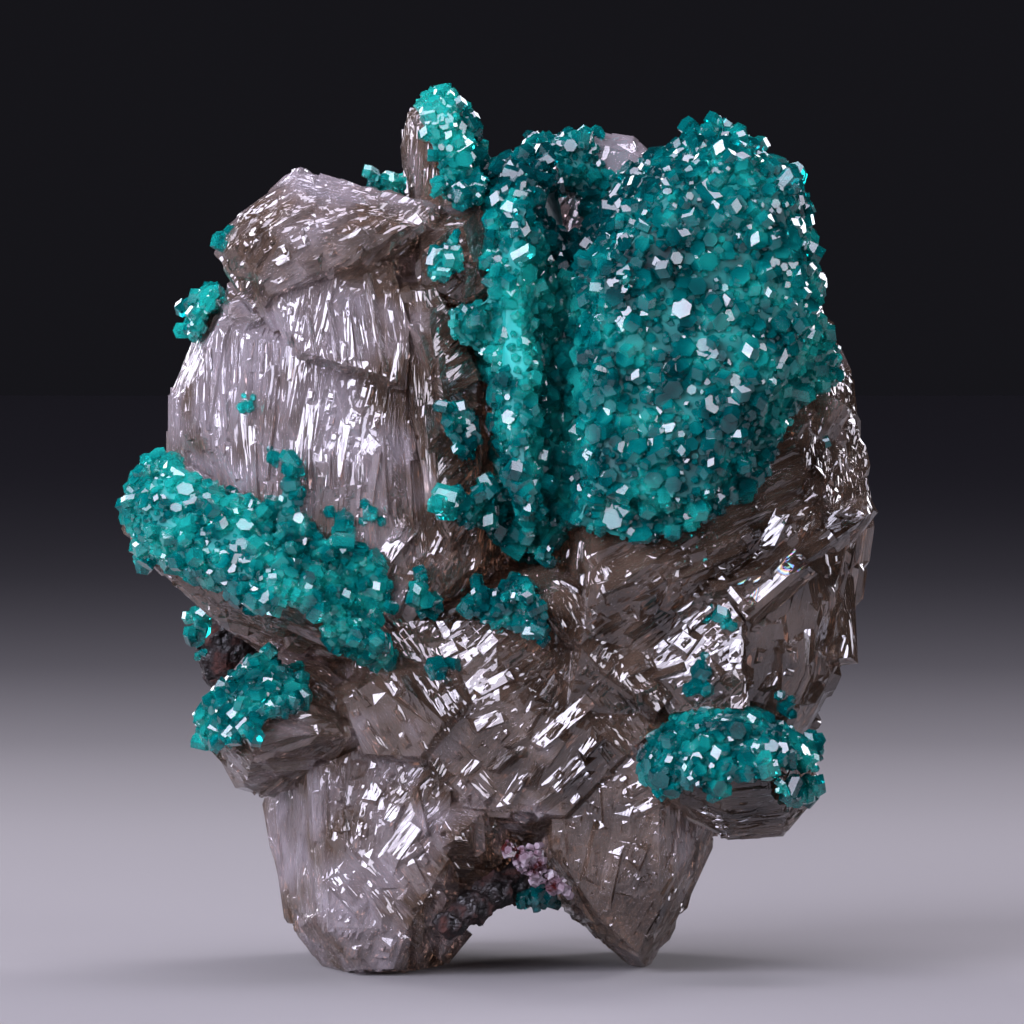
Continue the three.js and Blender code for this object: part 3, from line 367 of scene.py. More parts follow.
def surface_places(mesh, count):
    """Random places on a mesh, with the normals there."""
    points, triangles = corners_of(mesh), triangles_of(mesh)
    normals, areas = triangle_normals(points, triangles)
    picks = rng.choice(len(triangles), count, p=areas / areas.sum())
    a, b = rng.random((2, count))
    over = a + b > 1
    a[over], b[over] = 1 - a[over], 1 - b[over]
    corners = points[triangles[picks]]
    places = corners[:, 0] + a[:, None] * (corners[:, 1] - corners[:, 0]) \
        + b[:, None] * (corners[:, 2] - corners[:, 0])
    return places, normals[picks]


def spaced(places, normals, spacing, most, refused):
    """Picks places that stand at least `spacing` apart and that `refused` doesn't turn down."""
    picked, cells = [], {}
    around = [(x, y, z) for x in (-1, 0, 1) for y in (-1, 0, 1) for z in (-1, 0, 1)]
    for place, normal in zip(places, normals):
        key = tuple(np.floor(place / spacing).astype(int))
        near = [other for step in around
                for other in cells.get((key[0] + step[0], key[1] + step[1], key[2] + step[2]), ())]
        if near and (((np.array(near) - place) ** 2).sum(1) < spacing ** 2).any():
            continue
        if refused(place, normal):
            continue
        cells.setdefault(key, []).append(place)
        picked.append((place, normal))
        if len(picked) >= most:
            break
    return picked


def zones_for(normal):
    """The growth zones of the side that a face looks to."""
    return FRONT_ZONES if normal[1] < FRONT_FACING else BACK_ZONES


def nearest_zone(zones, places):
    """The index of the zone that lies nearest to each place."""
    centres = np.array([zone[:2] for zone in zones]) * MM
    away = places[:, None, :] - centres[None]
    return np.argmin((away ** 2).sum(2), axis=1)


def growth_line(lean, normal):
    """The direction in a face along which growth lines of this lean run."""
    lean = math.radians(lean)
    line = np.array([math.sin(lean), 0.0, math.cos(lean)])
    line = line - normal * normal.dot(line)
    if np.linalg.norm(line) < LINE_LEAST:
        line = np.array([0.0, 1.0, 0.0]) - normal * normal[1]
    return line / np.linalg.norm(line)


def spans_at(flat, v):
    """The stretches of the line at v that the face's triangles cover, joined where they meet."""
    low, high = flat[:, :, 1].min(1), flat[:, :, 1].max(1)
    crossed = flat[(low < v) & (high > v)]
    spans = []
    for corners in crossed:
        ends = []
        for a, b in ((0, 1), (1, 2), (2, 0)):
            (ua, va), (ub, vb) = corners[a], corners[b]
            if (va < v) != (vb < v):
                ends.append(ua + (ub - ua) * (v - va) / (vb - va))
        if len(ends) == 2:
            spans.append(sorted(ends))
    spans.sort()
    joined_spans = []
    for start, end in spans:
        if joined_spans and start <= joined_spans[-1][1] + 1e-6:
            joined_spans[-1][1] = max(joined_spans[-1][1], end)
        else:
            joined_spans.append([start, end])
    return joined_spans


def shared_spans(first, second):
    shared = []
    for a0, a1 in first:
        for b0, b1 in second:
            if min(a1, b1) > max(a0, b0):
                shared.append([max(a0, b0), min(a1, b1)])
    return shared


# A lath's faces. Corners 0 to 3 are its foot, 4 to 7 its shoulders at the face, and 8 to 11 its top.
LATH_FACES = [(3, 2, 1, 0), (0, 1, 5, 4), (1, 2, 6, 5), (2, 3, 7, 6), (3, 0, 4, 7),
              (4, 5, 9, 8), (5, 6, 10, 9), (6, 7, 11, 10), (7, 4, 8, 11), (8, 9, 10, 11)]


def lath(origin, along, across, normal, length, width, low, high, root=LATH_ROOT * MM):
    """One growth ridge. Its top runs between the heights low and high across it."""
    bevel = min(length * 0.25, width * rng.uniform(*LATH_BEVEL))
    left, right = rng.uniform(*LATH_FLANK, 2)
    if low > high:
        left, right = right, left
    corners = []
    for height in (-root, 0.0):
        for u, v in ((0, 0), (1, 0), (1, 1), (0, 1)):
            corners.append((u * length, (v - 0.5) * width, height))
    for u, v, height in ((bevel, left, low), (length - bevel, left, low),
                         (length - bevel, 1 - right, high), (bevel, 1 - right, high)):
        corners.append((u, (v - 0.5) * width, height))
    corners = np.array(corners)
    return origin + corners[:, :1] * along + corners[:, 1:2] * across + corners[:, 2:] * normal


def lath_places(solids):
    """Places along each lath, with their owners and reaches, to find the laths that touch."""
    places, owners, reaches = [], [], []
    for index, corners in enumerate(solids):
        start, end = corners[[4, 7]].mean(0), corners[[5, 6]].mean(0)
        half = np.linalg.norm(corners[7] - corners[4]) / 2
        steps = max(2, int(np.linalg.norm(end - start) / half) + 1)
        for share in np.linspace(0, 1, steps):
            places.append(start + (end - start) * share)
            owners.append(index)
            reaches.append(half * LATH_CLEAR)
    return places, owners, reaches


def covered(crust_tree, place, normal):
    """Whether a crust stands over this place of the cerussite."""
    start = Vector(place) + Vector(normal) * COVER_START * MM
    return crust_tree.ray_cast(start, Vector(normal), COVER_REACH * MM)[0] is not None


def laths_on(points, normal, triangles, zones, crust_tree):
    """All laths of one flat face."""
    corners = points[triangles]
    samples = np.concatenate([corners.mean(1), corners.reshape(-1, 3)])[:, [0, 2]]
    made = []
    for index in np.unique(nearest_zone(zones, samples)):
        lean, style = zones[index][2:]
        lane, shortest, longest, lowest, highest, share = STYLES[style]
        lane *= MM
        along = growth_line(lean, normal)
        across = np.cross(normal, along)
        flat = np.stack([corners @ along, corners @ across], axis=2)
        level = corners[0, 0] @ normal
        start = flat[:, :, 1].min()
        for step in range(int((flat[:, :, 1].max() - start) / lane)):
            v = start + (step + 0.5) * lane
            spans = spans_at(flat, v)
            for side in LANE_SIDES:
                spans = shared_spans(spans, spans_at(flat, v + side * lane))
            for low_end, high_end in spans:
                u = low_end + EDGE_SPACE * MM + rng.uniform(0, FIRST_GAP) * MM
                while u < high_end - (EDGE_SPACE + SHORT_END) * MM:
                    length = shortest * (longest / shortest) ** rng.random() * MM
                    length = min(length, high_end - EDGE_SPACE * MM - u)
                    place = (u + length / 2) * along + v * across + level * normal
                    mine = nearest_zone(zones, place[None, [0, 2]])[0] == index
                    ends = (place - along * length / 2, place, place + along * length / 2)
                    hidden = mine and all(covered(crust_tree, end, normal) for end in ends)
                    if mine and not hidden and rng.random() < share:
                        crest = rng.uniform(lowest, highest) * MM
                        shallow = crest * rng.uniform(0.0, FLATTER_SIDE)
                        low, high = (shallow, crest) if rng.random() < 0.5 else (crest, shallow)
                        origin = u * along + v * across + level * normal
                        made.append(lath(origin, along, across, normal, length, lane * LATH_FILL,
                                         low + LATH_LIFT * MM, high + LATH_LIFT * MM))
                    u += length + LATH_GAP * MM
    return made


def colours_of(places, owners, reaches, count):
    """Sorts solids into sets in which none touches another. Each solid is given by some places along
    it, and each place by its owner and its reach."""
    tree = KDTree(len(places))
    for index, place in enumerate(places):
        tree.insert(place, index)
    tree.balance()
    widest = max(reaches)
    near = [set() for _ in range(count)]
    for index, place in enumerate(places):
        for _, other, distance in tree.find_range(place, reaches[index] + widest):
            if owners[other] != owners[index] and distance < reaches[index] + reaches[other]:
                near[owners[index]].add(owners[other])
    chosen = [-1] * count
    for index in range(count):
        used = {chosen[other] for other in near[index]}
        chosen[index] = next(c for c in range(count + 1) if c not in used)
    return chosen


def merged(solids, faces):
    """Several solids with the same faces as one list of corners and one of faces."""
    points = np.concatenate(solids)
    step = len(solids[0])
    return points, [tuple(i + k * step for i in face) for k in range(len(solids)) for face in faces]


def fused(name, host, solids, faces_of, chosen):
    """Joins closed solids with a host mesh into one skin. Each set of solids is joined at once."""
    if host is None:
        host = mesh_object(name, *merged([s for s, c in zip(solids, chosen) if c == 0], faces_of))
        sets = range(1, max(chosen) + 1)
    else:
        sets = range(max(chosen) + 1)
    for index in sets:
        members = [solid for solid, colour in zip(solids, chosen) if colour == index]
        part = mesh_object(f"{name}_set", *merged(members, faces_of))
        join = host.modifiers.new("join", "BOOLEAN")
        join.operation = "UNION"
        join.solver = "MANIFOLD"
        join.object = part
        apply_modifiers(host)
        bpy.data.objects.remove(part)
    return host


def half_way(light):
    """The normal of a facet that mirrors a light into the camera."""
    to_light = Vector(light).normalized()
    return np.array((to_light + Vector((0, -1, 0))).normalized())


FLASH_NORMAL = half_way(KEY_LIGHT)


def growth_blade(place, normal, body_tree):
    """A larger ridge that leans a little from its zone's growth lines, or None where it can't lie."""
    zones = zones_for(normal)
    lean, style = zones[nearest_zone(zones, place[None, [0, 2]])[0]][2:]
    shortest, longest, narrowest, widest, lowest, highest = BLADES[style]
    along = growth_line(lean, normal)
    turn = rng.normal(0, STRIATED_TURN if style == "striated" else BLADE_TURN)
    if style == "chevron" and rng.random() < CHEVRON_SHARE:
        turn += CHEVRON_TURN
    along = along * math.cos(turn) + np.cross(normal, along) * math.sin(turn)
    across = np.cross(normal, along)
    length = shortest * (longest / shortest) ** rng.random() * MM
    width = narrowest * (widest / narrowest) ** rng.random() * MM
    crest = rng.uniform(lowest, highest) * MM
    for _ in range(BLADE_FITS):
        corners = [place + along * u * length / 2 + across * v * width / 2
                   for u, v in ((-1, -1), (1, -1), (1, 1), (-1, 1))]
        if all(body_tree.find_nearest(Vector(c))[3] < BLADE_OVERHANG * MM for c in corners):
            low, high = rng.uniform(0, BLADE_LOW_SIDE) * crest, crest
            if rng.random() < 0.5:
                low, high = high, low
            return lath(place - along * length / 2, along, across, normal, length, width,
                        low + BLADE_LIFT * MM, high + BLADE_LIFT * MM, BLADE_ROOT * MM)
        length *= BLADE_SHRINK[0]
        width *= BLADE_SHRINK[1]
        crest *= BLADE_SHRINK[2]
    return None


def flash_facet(x, z, lean, length, width, body_tree):
    """A clean facet on the show side, at the place that the camera sees at x, z."""
    camera = Vector((CAMERA_AIM[0], -CAMERA_DISTANCE, CAMERA_AIM[2]))
    place, _, _, _ = body_tree.ray_cast(camera, Vector((x * MM, 0, z * MM)) - camera)
    along = growth_line(lean, FLASH_NORMAL)
    across = np.cross(FLASH_NORMAL, along)
    start = np.array(place) - along * length * MM / 2
    return lath(start, along, across, FLASH_NORMAL, length * MM, width * MM, FLASH_HEIGHT * MM,
                FLASH_HEIGHT * MM, FLASH_ROOT * MM)


def add_growth_blades(body, crust_tree):
    """Larger ridges and flash facets over the broad faces, where no crust hides them."""
    tree = BVHTree.FromObject(body, bpy.context.evaluated_depsgraph_get())
    places, normals = surface_places(body.data, BLADE_PLACES)

    def refused(place, normal):
        return covered(crust_tree, place, normal) or place[2] < FOOT_CLEAR * MM

    solids = []
    for place, normal in spaced(places, normals, BLADE_SPACING * MM, BLADES_MOST, refused):
        made = growth_blade(place, normal, tree)
        if made is not None:
            solids.append(made)
    for facet in FLASHES:
        solids.append(flash_facet(*facet, tree))
    fused(body.name, body, solids, LATH_FACES, colours_of(*lath_places(solids), len(solids)))


def is_foot(normal, corners):
    """Whether a face is the flat end of the foot, which rests on the shelf."""
    return normal[2] < FOOT_TURN and corners[:, :, 2].max() < FOOT_HEIGHT * MM


def set_grain(piece):
    """Stores, for the surface pattern, each corner's place along and across the growth lines, and how
    steep the etch figures and how deep the waves are there."""
    mesh = piece.data
    count = len(mesh.polygons)
    normals = np.zeros(count * 3)
    centres = np.zeros(count * 3)
    mesh.polygons.foreach_get("normal", normals)
    mesh.polygons.foreach_get("center", centres)
    normals, centres = normals.reshape(-1, 3), centres.reshape(-1, 3)
    lines = np.zeros((count, 3))
    etch = np.ones((count, 4))
    for front, zones in ((True, FRONT_ZONES), (False, BACK_ZONES)):
        members = np.flatnonzero((normals[:, 1] < FRONT_FACING) == front)
        nearest = nearest_zone(zones, centres[members][:, [0, 2]])
        leans = np.radians([zone[2] for zone in zones])[nearest]
        lines[members] = np.column_stack([np.sin(leans), np.zeros(len(leans)), np.cos(leans)])
        etch[members] = np.array([ETCH[zone[3]] for zone in zones])[nearest]
    lines -= normals * np.einsum("ij,ij->i", lines, normals)[:, None]
    short = np.linalg.norm(lines, axis=1) < LINE_LEAST
    level = np.array([0.0, 1.0, 0.0]) - normals * normals[:, 1:2]
    lines[short] = level[short]
    lines /= np.maximum(np.linalg.norm(lines, axis=1), 1e-9)[:, None]
    across = np.cross(normals, lines)
    totals = np.zeros(count, int)
    mesh.polygons.foreach_get("loop_total", totals)
    owner = np.repeat(np.arange(count), totals)
    vertex = np.zeros(len(mesh.loops), int)
    mesh.loops.foreach_get("vertex_index", vertex)
    points = corners_of(mesh)[vertex]
    # Each facet takes its pattern from a place of its own, so that no pattern runs over an edge.
    seed = np.round(centres[owner] @ np.array(FACET_SEED))
    grain = np.column_stack([
        (np.einsum("ij,ij->i", points, lines[owner]) + seed * FACET_STEP[0] * MM) * etch[owner, 0],
        (np.einsum("ij,ij->i", points, across[owner]) + seed * FACET_STEP[1] * MM) * etch[owner, 1],
        np.zeros(len(owner)),
    ])
    layer = mesh.attributes.new("grain", "FLOAT_VECTOR", "CORNER")
    layer.data.foreach_set("vector", grain.astype(np.float32).ravel())
    for name, column in (("relief", 2), ("waves", 3)):
        layer = mesh.attributes.new(name, "FLOAT", "CORNER")
        layer.data.foreach_set("value", etch[owner, column].astype(np.float32))


def set_tone(piece, tones, name, middles=None):
    """Stores at each corner the tone that the places of a table give it, the nearest ones most. Each
    crystal, given by its middle, is a little lighter or darker than its neighbours."""
    mesh = piece.data
    points = corners_of(mesh)[:, [0, 2, 1]] / MM
    centres = np.array([entry[:3] for entry in tones])
    values = np.array([entry[3] for entry in tones])
    away = ((points[:, None, :] - centres[None]) ** 2).sum(2)
    weights = 1 / (away + TONE_REACH ** 2) ** 2
    tone = (weights * values).sum(1) / weights.sum(1)
    if middles:
        tree = KDTree(len(middles))
        for index, middle in enumerate(middles):
            tree.insert(middle, index)
        tree.balance()
        own = rng.normal(0, OWN_TONE, len(middles))
        tone += [own[tree.find(vertex.co)[1]] for vertex in mesh.vertices]
    layer = mesh.attributes.new(name, "FLOAT", "POINT")
    layer.data.foreach_set("value", tone.astype(np.float32))


def cerussite_blades(materials, crust_tree):
    """The cerussite: its solid with growth blades, and with laths on every flat face of that."""
    points, triangles = node_shape("cerussite_cluster")
    piece = mesh_object("cerussite_blades", points, triangles.tolist())
    add_growth_blades(piece, crust_tree)
    points, triangles = corners_of(piece.data), triangles_of(piece.data)
    solids = []
    for normal, members in flat_faces(points, triangles):
        clean = normal.dot(FLASH_NORMAL) > FLASH_CLEAN
        if not clean and not is_foot(normal, points[triangles[members]]):
            solids += laths_on(points, normal, triangles[members], zones_for(normal), crust_tree)
    fused(piece.name, piece, solids, LATH_FACES, colours_of(*lath_places(solids), len(solids)))
    set_grain(piece)
    set_tone(piece, PALENESS, "paleness")
    hand_over(piece, "cerussite_cluster", materials)
    for polygon in piece.data.polygons:
        x, y, z = polygon.center / MM
        near = math.hypot(x - RAINBOW[0], z - RAINBOW[1]) < RAINBOW[2]
        if near and y < 0 and polygon.normal.dot(Vector(FLASH_NORMAL)) > FLASH_NEAR:
            polygon.material_index = 1


def etch_facets(tree, grain, relief, size, bumps):
    """Flat etch facets of one size, length, width and tilt, each tilted by itself."""
    long_mm, wide_mm, tilt = size
    scale = (1 / (long_mm * MM), 1 / (wide_mm * MM), 1.0)
    scaled = add_node(tree, "ShaderNodeVectorMath", {0: grain, 1: scale}, operation="MULTIPLY")
    cells = add_node(tree, "ShaderNodeTexVoronoi", {"Vector": scaled.outputs[0], "Scale": 1.0},
                     voronoi_dimensions="2D")
    away = add_node(tree, "ShaderNodeVectorMath", {0: scaled.outputs[0], 1: cells.outputs["Position"]},
                    operation="SUBTRACT")
    tilts = add_node(tree, "ShaderNodeVectorMath", {0: cells.outputs["Color"], 1: (0.5, 0.5, 0.5)},
                     operation="SUBTRACT")
    height = add_node(tree, "ShaderNodeVectorMath", {0: away.outputs[0], 1: tilts.outputs[0]},
                      operation="DOT_PRODUCT")
    depth = add_node(tree, "ShaderNodeMath", {0: relief, 1: wide_mm * MM * tilt}, operation="MULTIPLY")
    values = {"Height": height.outputs["Value"], "Strength": 1.0, "Distance": depth.outputs[0]}
    if bumps:
        values["Normal"] = bumps
    return add_node(tree, "ShaderNodeBump", values).outputs["Normal"]


def cerussite(name, crack=None):
    """Cerussite, lead carbonate, as grown and lightly etched. It is as lustrous as lead crystal glass,
    smoky brown inside, and each etch facet throws its own flash. A crack just under the surface opens
    from the first to the second of its widths, in nanometres, which gives faint rainbow colours."""
    made = bpy.data.materials.new(name)
    made.use_nodes = True
    tree = made.node_tree
    tree.nodes.clear()
    grain = add_node(tree, "ShaderNodeAttribute", attribute_name="grain").outputs["Vector"]
    relief = add_node(tree, "ShaderNodeAttribute", attribute_name="relief").outputs["Fac"]
    waves = add_node(tree, "ShaderNodeAttribute", attribute_name="waves").outputs["Fac"]
    bumps = etch_facets(tree, grain, relief, (4.0, 0.22, 0.34), None)
    bumps = etch_facets(tree, grain, relief, (1.1, 0.1, 0.4), bumps)
    # Etch waves about 2.4 x 0.5 mm, and at most 0.14 mm deep.
    scale = (1 / (2.4 * MM), 1 / (0.5 * MM), 1.0)
    scaled = add_node(tree, "ShaderNodeVectorMath", {0: grain, 1: scale}, operation="MULTIPLY")
    wavy = add_node(tree, "ShaderNodeTexNoise",
                    {"Vector": scaled.outputs[0], "Scale": 1.0, "Detail": 0.0},
                    noise_dimensions="2D")
    depth = add_node(tree, "ShaderNodeMath", {0: waves, 1: 0.14 * MM}, operation="MULTIPLY")
    bumps = add_node(tree, "ShaderNodeBump",
                     {"Height": wavy.outputs["Fac"], "Strength": 1.0, "Distance": depth.outputs[0],
                      "Normal": bumps}).outputs["Normal"]
    # Clouds of inclusions 3 mm across make the paleness of each part uneven.
    place = add_node(tree, "ShaderNodeTexCoord").outputs["Object"]
    pale = add_node(tree, "ShaderNodeAttribute", attribute_name="paleness")
    cloud = add_node(tree, "ShaderNodeTexNoise",
                     {"Vector": place, "Scale": 1 / (3 * MM), "Detail": 1.0})
    uneven = add_node(tree, "ShaderNodeMath", {0: cloud.outputs["Fac"], 1: 1.3, 2: -0.65},
                      operation="MULTIPLY_ADD")
    mixed = add_node(tree, "ShaderNodeMath", {0: pale.outputs["Fac"], 1: uneven.outputs[0]},
                     operation="ADD")
    shade = add_node(tree, "ShaderNodeValToRGB", {"Fac": mixed.outputs[0]})
    ramp = shade.color_ramp
    ramp.elements[0].position, ramp.elements[1].position = 0.0, 1.0
    ramp.elements[0].color, ramp.elements[1].color = linear("#37271b"), linear("#eee2e8")
    ramp.elements.new(0.5).color = linear("#957e6c")
    surface = add_node(tree, "ShaderNodeBsdfPrincipled",
                       {"Base Color": shade.outputs["Color"], "Roughness": 0.07, "IOR": 2.0,
                        "Transmission Weight": 0.74, "Normal": bumps})
    if crack:
        # The crack opens unevenly, in patches 1.3 mm across.
        opening = add_node(tree, "ShaderNodeTexNoise",
                           {"Vector": place, "Scale": 1 / (1.3 * MM), "Detail": 0.0})
        width = add_node(tree, "ShaderNodeMapRange",
                         {"Value": opening.outputs["Fac"], "From Min": 0.25, "From Max": 0.75,
                          "To Min": crack[0], "To Max": crack[1]})
        surface.inputs["Thin Film IOR"].default_value = 1.75
        tree.links.new(width.outputs["Result"], surface.inputs["Thin Film Thickness"])
    inside = add_node(tree, "ShaderNodeVolumeAbsorption",
                      {"Color": linear("#b08d70"), "Density": 100.0})
    add_node(tree, "ShaderNodeOutputMaterial",
             {"Surface": surface.outputs[0], "Volume": inside.outputs[0]})
    return made


def greens(tree, dark, middle, light):
    """Blue-greens that follow the greenness of the place, made uneven by clouds 2.5 mm across."""
    place = add_node(tree, "ShaderNodeTexCoord").outputs["Object"]
    green = add_node(tree, "ShaderNodeAttribute", attribute_name="greenness")
    cloud = add_node(tree, "ShaderNodeTexNoise",
                     {"Vector": place, "Scale": 1 / (2.5 * MM), "Detail": 1.0})
    uneven = add_node(tree, "ShaderNodeMath", {0: cloud.outputs["Fac"], 1: 1.6, 2: -0.8},
                      operation="MULTIPLY_ADD")
    mixed = add_node(tree, "ShaderNodeMath", {0: green.outputs["Fac"], 1: uneven.outputs[0]},
                     operation="ADD")
    shade = add_node(tree, "ShaderNodeValToRGB", {"Fac": mixed.outputs[0]})
    ramp = shade.color_ramp
    ramp.elements[0].position, ramp.elements[1].position = 0.0, 1.0
    ramp.elements[0].color, ramp.elements[1].color = linear(dark), linear(light)
    ramp.elements.new(0.5).color = linear(middle)
    return shade.outputs["Color"]


def dioptase():
    """Dioptase, clean small crystals: glassy faces over a deep blue-green inside."""
    made = bpy.data.materials.new("dioptase crystals")
    made.use_nodes = True
    tree = made.node_tree
    tree.nodes.clear()
    surface = add_node(tree, "ShaderNodeBsdfPrincipled",
                       {"Base Color": greens(tree, "#016a6e", "#03a8a6", "#34f0e0"),
                        "Roughness": 0.02, "IOR": 1.68, "Transmission Weight": 0.78})
    inside = add_node(tree, "ShaderNodeVolumeAbsorption",
                      {"Color": linear("#2cd2cc"), "Density": 150.0})
    add_node(tree, "ShaderNodeOutputMaterial",
             {"Surface": surface.outputs[0], "Volume": inside.outputs[0]})
    return made


def dioptase_root_painted_shade():
    """Dioptase, the grown-together roots of a crust: dull, and seen between and through the crystals.
    Its blue-greens are darker than the crystals' as painted shade in the gaps between them.
    """
    made = bpy.data.materials.new("dioptase, grown together")
    made.use_nodes = True
    tree = made.node_tree
    surface = tree.nodes["Principled BSDF"]
    # Darker blue-greens than the crystals': painted shade in the gaps between the crystals.
    tree.links.new(greens(tree, "#012a2d", "#056864", "#16a89e"), surface.inputs["Base Color"])
    surface.inputs["Roughness"].default_value = 0.6
    return made


def gossan():
    """Gossan, weathered iron ore: dull red-brown rock with black, slightly shiny skins."""
    made = bpy.data.materials.new("gossan, weathered")
    made.use_nodes = True
    tree = made.node_tree
    place = add_node(tree, "ShaderNodeTexCoord").outputs["Object"]
    # Patches 1.2 mm across are black and shiny or brown and dull, and the grit is 0.15 mm.
    cloud = add_node(tree, "ShaderNodeTexNoise",
                     {"Vector": place, "Scale": 1 / (1.2 * MM), "Detail": 5.0})
    shade = add_node(tree, "ShaderNodeValToRGB", {"Fac": cloud.outputs["Fac"]})
    ramp = shade.color_ramp
    ramp.elements[0].position, ramp.elements[1].position = 0.4, 0.68
    ramp.elements[0].color, ramp.elements[1].color = linear("#0a0606"), linear("#46241c")
    ramp.elements.new(0.52).color = linear("#1c0e0c")
    gloss = add_node(tree, "ShaderNodeMapRange",
                     {"Value": cloud.outputs["Fac"], "From Min": 0.4, "From Max": 0.55,
                      "To Min": 0.3, "To Max": 0.85})
    grit = add_node(tree, "ShaderNodeTexNoise",
                    {"Vector": place, "Scale": 1 / (0.15 * MM), "Detail": 3.0})
    bump = add_node(tree, "ShaderNodeBump",
                    {"Height": grit.outputs["Fac"], "Strength": 0.8, "Distance": 0.08 * MM})
    surface = tree.nodes["Principled BSDF"]
    tree.links.new(shade.outputs["Color"], surface.inputs["Base Color"])
    tree.links.new(gloss.outputs["Result"], surface.inputs["Roughness"])
    tree.links.new(bump.outputs["Normal"], surface.inputs["Normal"])
    return made


def calcite():
    """Calcite, a sugary crust of small clear grains, lilac-white, with rust between them."""
    made = bpy.data.materials.new("calcite, sugary")
    made.use_nodes = True
    tree = made.node_tree
    place = add_node(tree, "ShaderNodeTexCoord").outputs["Object"]
    # The rust lies in patches 1 mm across.
    cloud = add_node(tree, "ShaderNodeTexNoise",
                     {"Vector": place, "Scale": 1 / (1.0 * MM), "Detail": 5.0})
    shade = add_node(tree, "ShaderNodeValToRGB", {"Fac": cloud.outputs["Fac"]})
    ramp = shade.color_ramp
    ramp.elements[0].position, ramp.elements[1].position = 0.38, 0.66
    ramp.elements[0].color, ramp.elements[1].color = linear("#5a2020"), linear("#e8dde6")
    ramp.elements.new(0.47).color = linear("#a08592")
    surface = tree.nodes["Principled BSDF"]
    tree.links.new(shade.outputs["Color"], surface.inputs["Base Color"])
    surface.inputs["Roughness"].default_value = 0.15
    surface.inputs["IOR"].default_value = 1.58
    surface.inputs["Transmission Weight"].default_value = 0.5
    return made


# A crystal's faces: three end faces, six sides and the foot.
CRYSTAL_FACES = [(0, 6, 1, 2), (0, 2, 3, 4), (0, 4, 5, 6)]
CRYSTAL_FACES += [(1 + i, 7 + i, 7 + (i + 1) % 6, 1 + (i + 1) % 6) for i in range(6)]
CRYSTAL_FACES += [(12, 11, 10, 9, 8, 7)]


def crystal(radius, length, root):
    """A dioptase crystal along +Z: a six-sided prism under three end faces."""
    points = [(0, 0, length)]
    for ring in range(2):
        for corner in range(6):
            angle = corner * math.pi / 3
            fall = radius * END_FALL * (1 if corner % 2 == 0 else 0.5)
            height = -root if ring else length - fall
            points.append((radius * math.cos(angle), radius * math.sin(angle), height))
    return np.array(points)


def stood(points, place, outward, spin):
    """A crystal's corners after it is set down at a place, pointing outward."""
    turn = Vector((0, 0, 1)).rotation_difference(Vector(outward)) @ \
        Matrix.Rotation(spin, 3, "Z").to_quaternion()
    return np.array(points) @ np.array(turn.to_matrix()).T + np.array(place)


def fused_crystals(name, solids, middles, reaches):
    chosen = colours_of(middles, list(range(len(solids))), reaches, len(solids))
    return fused(name, None, solids, CRYSTAL_FACES, chosen)


def crust_roots(node, body_tree, bare):
    """The grown-together roots of a crust: its solid, smoothed, and shrunk to make room for crystals."""
    points, triangles = node_shape(node)
    base = mesh_object(node + "_roots", points, triangles.tolist())
    remesh = base.modifiers.new("remesh", "REMESH")
    remesh.mode = "VOXEL"
    remesh.voxel_size = ROOT_VOXEL * MM
    smooth = base.modifiers.new("smooth", "SMOOTH")
    smooth.factor, smooth.iterations = ROOT_SMOOTHING
    shrink = base.modifiers.new("shrink", "DISPLACE")
    shrink.mid_level = 0.0
    shrink.strength = -CRYSTAL_STAND * MM
    thin = base.modifiers.new("thin", "DECIMATE")
    thin.ratio = ROOT_THINNING
    apply_modifiers(base)
    # The face that lies on the cerussite is drawn onto it, because the solids keep a seam there.
    for vertex in base.data.vertices:
        hit, normal, _, distance = body_tree.find_nearest(vertex.co, SEAM_SEARCH * MM)
        if hit is not None and distance < SEAM_WIDTH * MM:
            vertex.co = hit - normal * ROOT_SINK * MM
    for x, z, radius, depth in bare:
        for vertex in base.data.vertices:
            off = math.hypot(vertex.co.x / MM - x, vertex.co.z / MM - z) / radius
            if off < BARE_EDGE:
                vertex.co.y += depth * MM * (1 - (off / BARE_EDGE) ** 2) ** 0.5
    return base


def crust(node, body_tree, materials):
    """A crust: crystals of the first material, standing all over roots of the second."""
    small, large, spacing, most = CRUST_STYLES.get(node, CRUST_STYLE)
    bare = [place[1:] for place in BARE if place[0] == node]
    base = crust_roots(node, body_tree, bare)
    places, normals = surface_places(base.data, CRUST_PLACES)

    def refused(place, normal):
        if any(math.hypot(place[0] / MM - x, place[2] / MM - z) < radius for x, z, radius, _ in bare):
            return True
        hit, away, _, _ = body_tree.find_nearest(Vector(place), BURIED_SEARCH * MM)
        return hit is not None and (Vector(place) - hit).dot(away) < ROOT_SINK * MM

    solids, middles, reaches = [], [], []
    for place, normal in spaced(places, normals, spacing * MM, most, refused):
        radius = (small + (large - small) * rng.random() ** 2) * MM
        root = radius * CRYSTAL_ROOT
        length = radius * rng.uniform(*CRYSTAL_LENGTHS)
        outward = normal + rng.normal(0, CRYSTAL_LEAN, 3)
        outward /= np.linalg.norm(outward)
        solids.append(stood(crystal(radius, length, root), place, outward, rng.random() * 2))
        middles.append(place + outward * (length - root) / 2)
        reaches.append(max(np.linalg.norm(solids[-1] - middles[-1], axis=1)))
    piece = fused_crystals(node.replace("dioptase_", "") + "_crystals", solids, middles, reaches)
    for made, material, own in ((base, materials[1], None), (piece, materials[0], middles)):
        set_tone(made, GREENNESS, "greenness", own)
        hand_over(made, node, [material])


